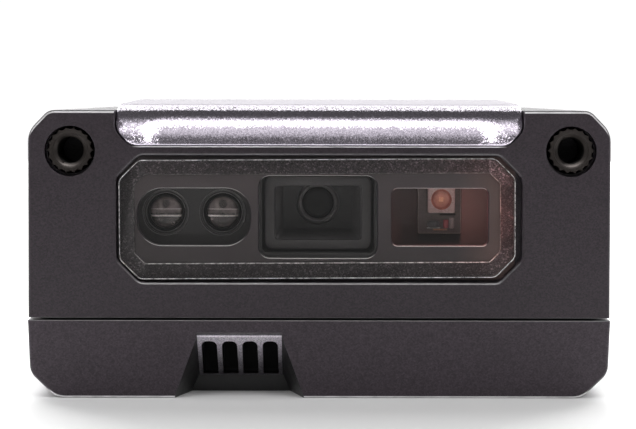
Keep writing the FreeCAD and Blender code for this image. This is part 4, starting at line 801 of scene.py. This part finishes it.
def box_ring(width, tall, radius, y, cx, cz, steps=7):
    a, c = width / 2, tall / 2
    return lay(rounded([(a, -c), (a, c), (-a, c), (-a, -c)], radius, steps), y, cx, cz)


hub = (HOOD[0], 19.0)


def hood_ring(wide, tall, radius, y, cz=18.36):
    return spoked(wide, tall, radius, y, HOOD[0], cz, 240, hub)


b = Build()
loops = [
    hood_ring(10.9, 7.5, 0.8, -18.4),
    hood_ring(10.9, 7.5, 0.8, -25.86),
    hood_ring(10.86, 7.46, 0.79, -25.93),
    hood_ring(10.76, 7.36, 0.75, -25.985),
    hood_ring(10.6, 7.2, 0.7, -26.0),
    hood_ring(9.1, 5.79, 0.45, -26.0),
    hood_ring(8.94, 5.63, 0.4, -25.97),
    hood_ring(8.84, 5.53, 0.36, -25.88),
]
for k in range(9):
    t = (k + 0.5) / 9.0
    w = 8.82 + (7.2 - 8.82) * t
    h = 5.51 + (4.8 - 5.51) * t
    cz = 18.36 + (18.8 - 18.36) * t
    y = -25.8 + 6.3 * t
    loops.append(hood_ring(w + 0.02, h + 0.02, 0.35, y - 0.22, cz))
    loops.append(hood_ring(w + 0.02, h + 0.02, 0.35, y - 0.06, cz))
    loops.append(hood_ring(w + 0.22, h + 0.22, 0.35, y + 0.02, cz))
    loops.append(hood_ring(w + 0.20, h + 0.20, 0.35, y + 0.36, cz))
# wall at the back with the round hole for the lens rim
walls = len(loops)
loops += [hood_ring(7.2, 4.8, 0.35, -19.4, 18.8), circle(2.27, -19.4, *hub, 240), circle(2.27, -18.4, *hub, 240)]
# outer side wall painted near black as painted shade of the gap round the hood; face and funnel walls painted
# lighter, back wall darker
b.rings(loops, [2] + [0] * (walls - 1) + [1, 1, 1], closed=True)
piece("hood", b.verts, b.faces, [hood_black_painted_light, FINISHES["optics_black"], groove_shade], b.picks, ["camera_hood"], crease=35)


# ---------------------------------------------------------------- aiming lamp

LED = (12.63, 19.63)


def led_ring(w, radius, y):
    return spoked(w, w, radius, y, *LED, 80)


b = Build()
loops = [
    led_ring(2.8, 0.15, -23.0),
    led_ring(2.8, 0.15, -23.9),
    led_ring(2.74, 0.14, -23.98),
    led_ring(2.62, 0.12, -24.0),
    circle(1.12, -24.0, *LED, 80),
    circle(1.06, -23.97, *LED, 80),
    circle(0.84, -23.66, *LED, 80),
    circle(0.5, -23.64, *LED, 80),
]
b.rings(loops, [0, 0, 0, 0, 0, 1, 1], 0, 1)
# die
for w, y0, y1 in ((0.46, -23.64, -23.78),):
    d = b.rings(
        [box_ring(w, w, 0.05, y0, *LED, 3), box_ring(w, w, 0.05, y1 + 0.03, *LED, 3), box_ring(w - 0.06, w - 0.06, 0.04, y1, *LED, 3)],
        2, 2, 2,
    )
piece("aimer_lamp", b.verts, b.faces, [package, glow, die], b.picks, ["aimer_led"], crease=35)

# board with bright cut edges
b = Build()
mid = (12.63 - 0.15, (16.03 + 24.2) / 2)


def board_ring(by, y):
    return box_ring(4.5 - 2 * by, 24.2 - 16.03 - 2 * by, 0.12, y, *mid, 3)


b.rings([board_ring(0.0, -22.2), board_ring(0.0, -22.92), board_ring(0.03, -22.98), board_ring(0.09, -23.0)], [1, 1, 1], 0, 0)
piece("lamp_board", b.verts, b.faces, [FINISHES["board_dark"], laminate], b.picks, ["aimer_board"], crease=35)

# chip parts below the lamp: a rounded grey one and a red one with tinned ends; the dark brown strip just under the
# lamp is painted shade in the gap there
b = Build()


def chip(x0, x1, z0, z1, y1, radius, pick, steps=5):
    w, h, cx, cz = x1 - x0, z1 - z0, (x0 + x1) / 2, (z0 + z1) / 2
    b.rings(
        [
            box_ring(w, h, radius, -23.0, cx, cz, steps),
            box_ring(w, h, radius, y1 + 0.08, cx, cz, steps),
            box_ring(w - 0.06, h - 0.06, max(0.02, radius - 0.03), y1 + 0.02, cx, cz, steps),
            box_ring(w - 0.16, h - 0.16, max(0.01, radius - 0.08), y1, cx, cz, steps),
        ],
        pick, pick, pick,
    )


chip(11.24, 12.52, 16.66, 17.38, -23.42, 0.34, 0)
chip(11.18, 12.58, 16.6, 16.68, -23.12, 0.03, 2)
chip(12.86, 13.4, 16.62, 17.5, -23.45, 0.1, 1)
chip(13.5, 13.98, 16.58, 17.72, -23.3, 0.08, 3)
chip(11.8, 13.3, 16.38, 16.54, -23.12, 0.06, 4)
chip(12.5, 14.16, 17.92, 18.14, -23.06, 0.05, 5)
piece("lamp_chips", b.verts, b.faces, [pill, ruby, tin, pale, copper, gap_shade], b.picks, ["aimer_resistors"], crease=35)


# ---------------------------------------------------------------- CAD nodes

slot_of = {p["node"]: p["material_slot"] for p in frame["record"]["subparts"]}
for name, obj in nodes.items():
    obj.data.materials.clear()
    obj.data.materials.append(OWN.get(name, FINISHES[slot_of[name]]).mat)
    if name in ("front_lens", "rear_lens"):
        continue
    if "custom_normal" in obj.data.attributes:
        obj.data.attributes.remove(obj.data.attributes["custom_normal"])
    obj.data.polygons.foreach_set("use_smooth", [True] * len(obj.data.polygons))
    weld = obj.modifiers.new("weld", "WELD")
    weld.merge_threshold = 0.000002
    split = obj.modifiers.new("creases", "EDGE_SPLIT")
    split.split_angle = math.radians(28)
    even = obj.modifiers.new("even", "WEIGHTED_NORMAL")
    even.mode = "FACE_AREA"
    even.weight = 80
    even.keep_sharp = True


# ---------------------------------------------------------------- floor, light, camera

white = Finish("table_white", (0.9, 0.9, 0.9), 0.9, Specular_IOR_Level=0.0)
white.colour(white.mix(white.noise(0.4, 2.0), (0.89, 0.89, 0.89), (0.91, 0.91, 0.91)))


def ground_sheet(name, verts, faces, mirrored):
    m = bpy.data.meshes.new(name)
    m.from_pydata(verts, [], faces)
    m.materials.append(white.mat)
    o = bpy.data.objects.new(name, m)
    scene.collection.objects.link(o)
    o.visible_glossy = mirrored


near = [(-0.3, -0.14, 0), (0.3, -0.14, 0), (0.3, 0.2, 0), (-0.3, 0.2, 0)]
far = [(-0.8, -0.8, 0), (0.8, -0.8, 0), (0.8, 0.7, 0), (-0.8, 0.7, 0)]
ground_sheet("table_near", near, [(0, 1, 2, 3)], True)
ground_sheet(
    "table_top", near + far,
    [(4, 5, 1, 0), (5, 6, 2, 1), (6, 7, 3, 2), (7, 4, 0, 3)], False,
)

world = bpy.data.worlds.new("studio")
scene.world = world
world.use_nodes = True
wt = world.node_tree
wt.nodes.clear()


def w(kind, **props):
    n = wt.nodes.new(kind)
    for k, v in props.items():
        setattr(n, k, v)
    return n


def levels_over(stops):
    """A grey ramp over elevation in degrees."""
    r = w("ShaderNodeValToRGB")
    els = r.color_ramp.elements
    while len(els) > 1:
        els.remove(els[-1])
    for i, (deg, level) in enumerate(stops):
        e = els[0] if i == 0 else els.new((deg + 90) / 180)
        e.position = (deg + 90) / 180
        e.color = (level, level, level, 1.0)
    return r


direction = w("ShaderNodeTexCoord").outputs["Generated"]
xyz = w("ShaderNodeSeparateXYZ")
wt.links.new(direction, xyz.inputs[0])
arc = w("ShaderNodeMath", operation="ARCSINE")
wt.links.new(xyz.outputs["Z"], arc.inputs[0])
height = w("ShaderNodeMapRange")
height.inputs["From Min"].default_value = -math.pi / 2
height.inputs["From Max"].default_value = math.pi / 2
wt.links.new(arc.outputs[0], height.inputs["Value"])
ahead = levels_over([(-90, 0.3), (-15, 0.2), (-8, 0.2), (-5, 0.19), (-3.4, 0.2), (-2.2, 0.24), (-1, 0.16), (0, 0.1), (4, 0.13), (9, 0.25), (16, 0.52), (24, 0.75), (31, 0.92), (39, 1.0), (46, 1.0), (52, 1.0), (58, 0.6), (65, 0.2), (72, 0.11), (90, 0.1)])
behind = levels_over([(-90, 0.1), (-5, 0.6), (-2, 1.0), (6, 1.0), (12, 0.3), (22, 0.24), (27, 0.34), (31, 0.5), (38, 0.022), (90, 0.018)])
for r in (ahead, behind):
    wt.links.new(height.outputs[0], r.inputs["Fac"])
boost = w("ShaderNodeVectorMath", operation="SCALE")
boost.inputs["Scale"].default_value = 5.2
wt.links.new(behind.outputs["Color"], boost.inputs[0])
side = w("ShaderNodeMapRange", interpolation_type="SMOOTHSTEP")
side.inputs["From Min"].default_value = -0.35
side.inputs["From Max"].default_value = 0.35
wt.links.new(xyz.outputs["Y"], side.inputs["Value"])
blend = w("ShaderNodeMix", data_type="RGBA")
wt.links.new(side.outputs[0], blend.inputs[0])
wt.links.new(ahead.outputs["Color"], blend.inputs[6])
wt.links.new(boost.outputs[0], blend.inputs[7])


def sum_of(op, a, b):
    n = w("ShaderNodeMath", operation=op)
    for socket, value in zip(n.inputs, (a, b)):
        if hasattr(value, "is_linked"):
            wt.links.new(value, socket)
        else:
            socket.default_value = value
    return n.outputs[0]


# a round softbox overhead, a little ahead of the reader: how far a direction is from its middle
up = sum_of("MAXIMUM", xyz.outputs["Z"], 0.02)
across = sum_of("DIVIDE", sum_of("DIVIDE", xyz.outputs["X"], up), 1.1)
bow = sum_of("MULTIPLY", sum_of("MULTIPLY", across, across), 0.8)
along = sum_of("DIVIDE", sum_of("ADD", sum_of("ADD", sum_of("DIVIDE", xyz.outputs["Y"], up), 0.48), bow), 0.27)
away = sum_of("SQRT", sum_of("ADD", sum_of("MULTIPLY", across, across), sum_of("MULTIPLY", along, along)), 0.0)
dome = w("ShaderNodeValToRGB")
stops = [(0.0, 1.0), (0.8, 1.0), (1.0, 0.8), (1.15, 0.5), (1.45, 0.25), (1.8, 0.11), (2.3, 0.03), (3.0, 0.0)]
while len(dome.color_ramp.elements) > 1:
    dome.color_ramp.elements.remove(dome.color_ramp.elements[-1])
for i, (at, level) in enumerate(stops):
    e = dome.color_ramp.elements[0] if i == 0 else dome.color_ramp.elements.new(at / 4)
    e.position = at / 4
    e.color = (level, level, level, 1.0)
wt.links.new(sum_of("DIVIDE", away, 4.0), dome.inputs["Fac"])
bright = w("ShaderNodeVectorMath", operation="SCALE")
bright.inputs["Scale"].default_value = 2.6
wt.links.new(dome.outputs["Color"], bright.inputs[0])
whole = w("ShaderNodeVectorMath", operation="MAXIMUM")
wt.links.new(blend.outputs[2], whole.inputs[0])
wt.links.new(bright.outputs[0], whole.inputs[1])
seen = w("ShaderNodeBackground")
seen.inputs["Color"].default_value = (1, 1, 1, 1)
seen.inputs["Strength"].default_value = 1.05
lit = w("ShaderNodeBackground")
lit.inputs["Strength"].default_value = 1.0
wt.links.new(whole.outputs[0], lit.inputs["Color"])
path = w("ShaderNodeLightPath")
weight = w("ShaderNodeMapRange")
weight.inputs["To Min"].default_value = 0.70
weight.inputs["To Max"].default_value = 1.0
wt.links.new(path.outputs["Is Glossy Ray"], weight.inputs["Value"])
wt.links.new(weight.outputs[0], lit.inputs["Strength"])
pick = w("ShaderNodeMixShader")
wt.links.new(path.outputs["Is Camera Ray"], pick.inputs[0])
wt.links.new(lit.outputs[0], pick.inputs[1])
wt.links.new(seen.outputs[0], pick.inputs[2])
wout = w("ShaderNodeOutputWorld")
wt.links.new(pick.outputs[0], wout.inputs["Surface"])


def softbox(name, azimuth, elevation, distance, wide, tall, level, soft=True, gloss=True, shape="RECTANGLE", aim=(0, -0.03, 0.02)):
    """A soft light seen from the reader at an azimuth from straight ahead and an elevation."""
    d = bpy.data.lights.new(name, "AREA")
    d.shape = shape
    d.size, d.size_y = wide, tall
    d.energy = level * math.pi * wide * tall * (math.pi / 4 if shape == "ELLIPSE" else 1.0)
    o = bpy.data.objects.new(name, d)
    a, e = math.radians(azimuth), math.radians(elevation)
    aim = Vector(aim)
    o.location = aim + distance * Vector(
        (math.sin(a) * math.cos(e), -math.cos(a) * math.cos(e), math.sin(e))
    )
    o.rotation_euler = (aim - o.location).to_track_quat("-Z", "Y").to_euler()
    o.visible_diffuse = soft
    o.visible_glossy = gloss
    o.visible_camera = False
    scene.collection.objects.link(o)
    return o


def only_on(light, chosen):
    """Keeps a light to some pieces."""
    c = bpy.data.collections.new(light.name + "_on")
    for o in chosen:
        c.objects.link(o)
    light.light_linking.receiver_collection = c


silver = [nodes["top_cover"]]
rest = [o for o in scene.objects if o.type == "MESH" and o not in silver and o != nodes["sound_grille"]]
only_on(softbox("edge_box", 0, 64, 0.6, 0.60, 0.18, 20.0, soft=False, shape="ELLIPSE"), rest)
only_on(softbox("left_box", -29, 27, 0.7, 0.18, 0.78, 3.4, soft=False), silver)
only_on(softbox("right_box", 29, 27, 0.7, 0.18, 0.78, 3.4, soft=False), silver)
table = [scene.objects["table_near"], scene.objects["table_top"]]
only_on(softbox("left_fill", -165, 35, 1.2, 0.9, 0.8, 8.0, gloss=False), table)
only_on(softbox("right_fill", 165, 35, 1.2, 0.9, 0.8, 8.0, gloss=False), table)
softbox("back_fill", 180, 62, 1.2, 1.4, 0.6, 2.0, gloss=False)


def lamp_glow(name, at, energy, radius):
    """The aiming lamp's own light on what is round it."""
    d = bpy.data.lights.new(name, "POINT")
    d.color = (1.0, 0.42, 0.36)
    d.energy = energy
    d.shadow_soft_size = radius
    o = bpy.data.objects.new(name, d)
    o.location = Vector(at) * MM
    o.visible_camera = False
    o.visible_glossy = False
    scene.collection.objects.link(o)
    return o


walls = [nodes["upper_case"], nodes["optics_chassis"]]
only_on(lamp_glow("aimer_glow", (14.6, -26.2, 19.0), 0.0030, 0.0006), walls)
only_on(lamp_glow("aimer_glow_back", (9.6, -26.4, 19.0), 0.0004, 0.0006), walls)
only_on(lamp_glow("aimer_spill", (17.6, -33.0, 18.4), 0.0018, 0.001), [scene.objects["adhesive_band"]])

lens = bpy.data.cameras.new("view")
lens.sensor_fit = "HORIZONTAL"
lens.sensor_width = 36.0
lens.lens = 113.6
lens.clip_start = 0.01
camera = bpy.data.objects.new("view", lens)
camera.matrix_world = (
    Matrix.Translation((-0.00012, -0.231, 0.0303))
    @ Matrix.Rotation(math.radians(90 - 3.384), 4, "X")
    @ Matrix.Rotation(math.radians(0.1), 4, "Z")
)
scene.collection.objects.link(camera)
scene.camera = camera

scene.view_settings.view_transform = "Standard"
scene.view_settings.look = "None"
scene.view_settings.exposure = 0.0
scene.view_settings.gamma = 1.0
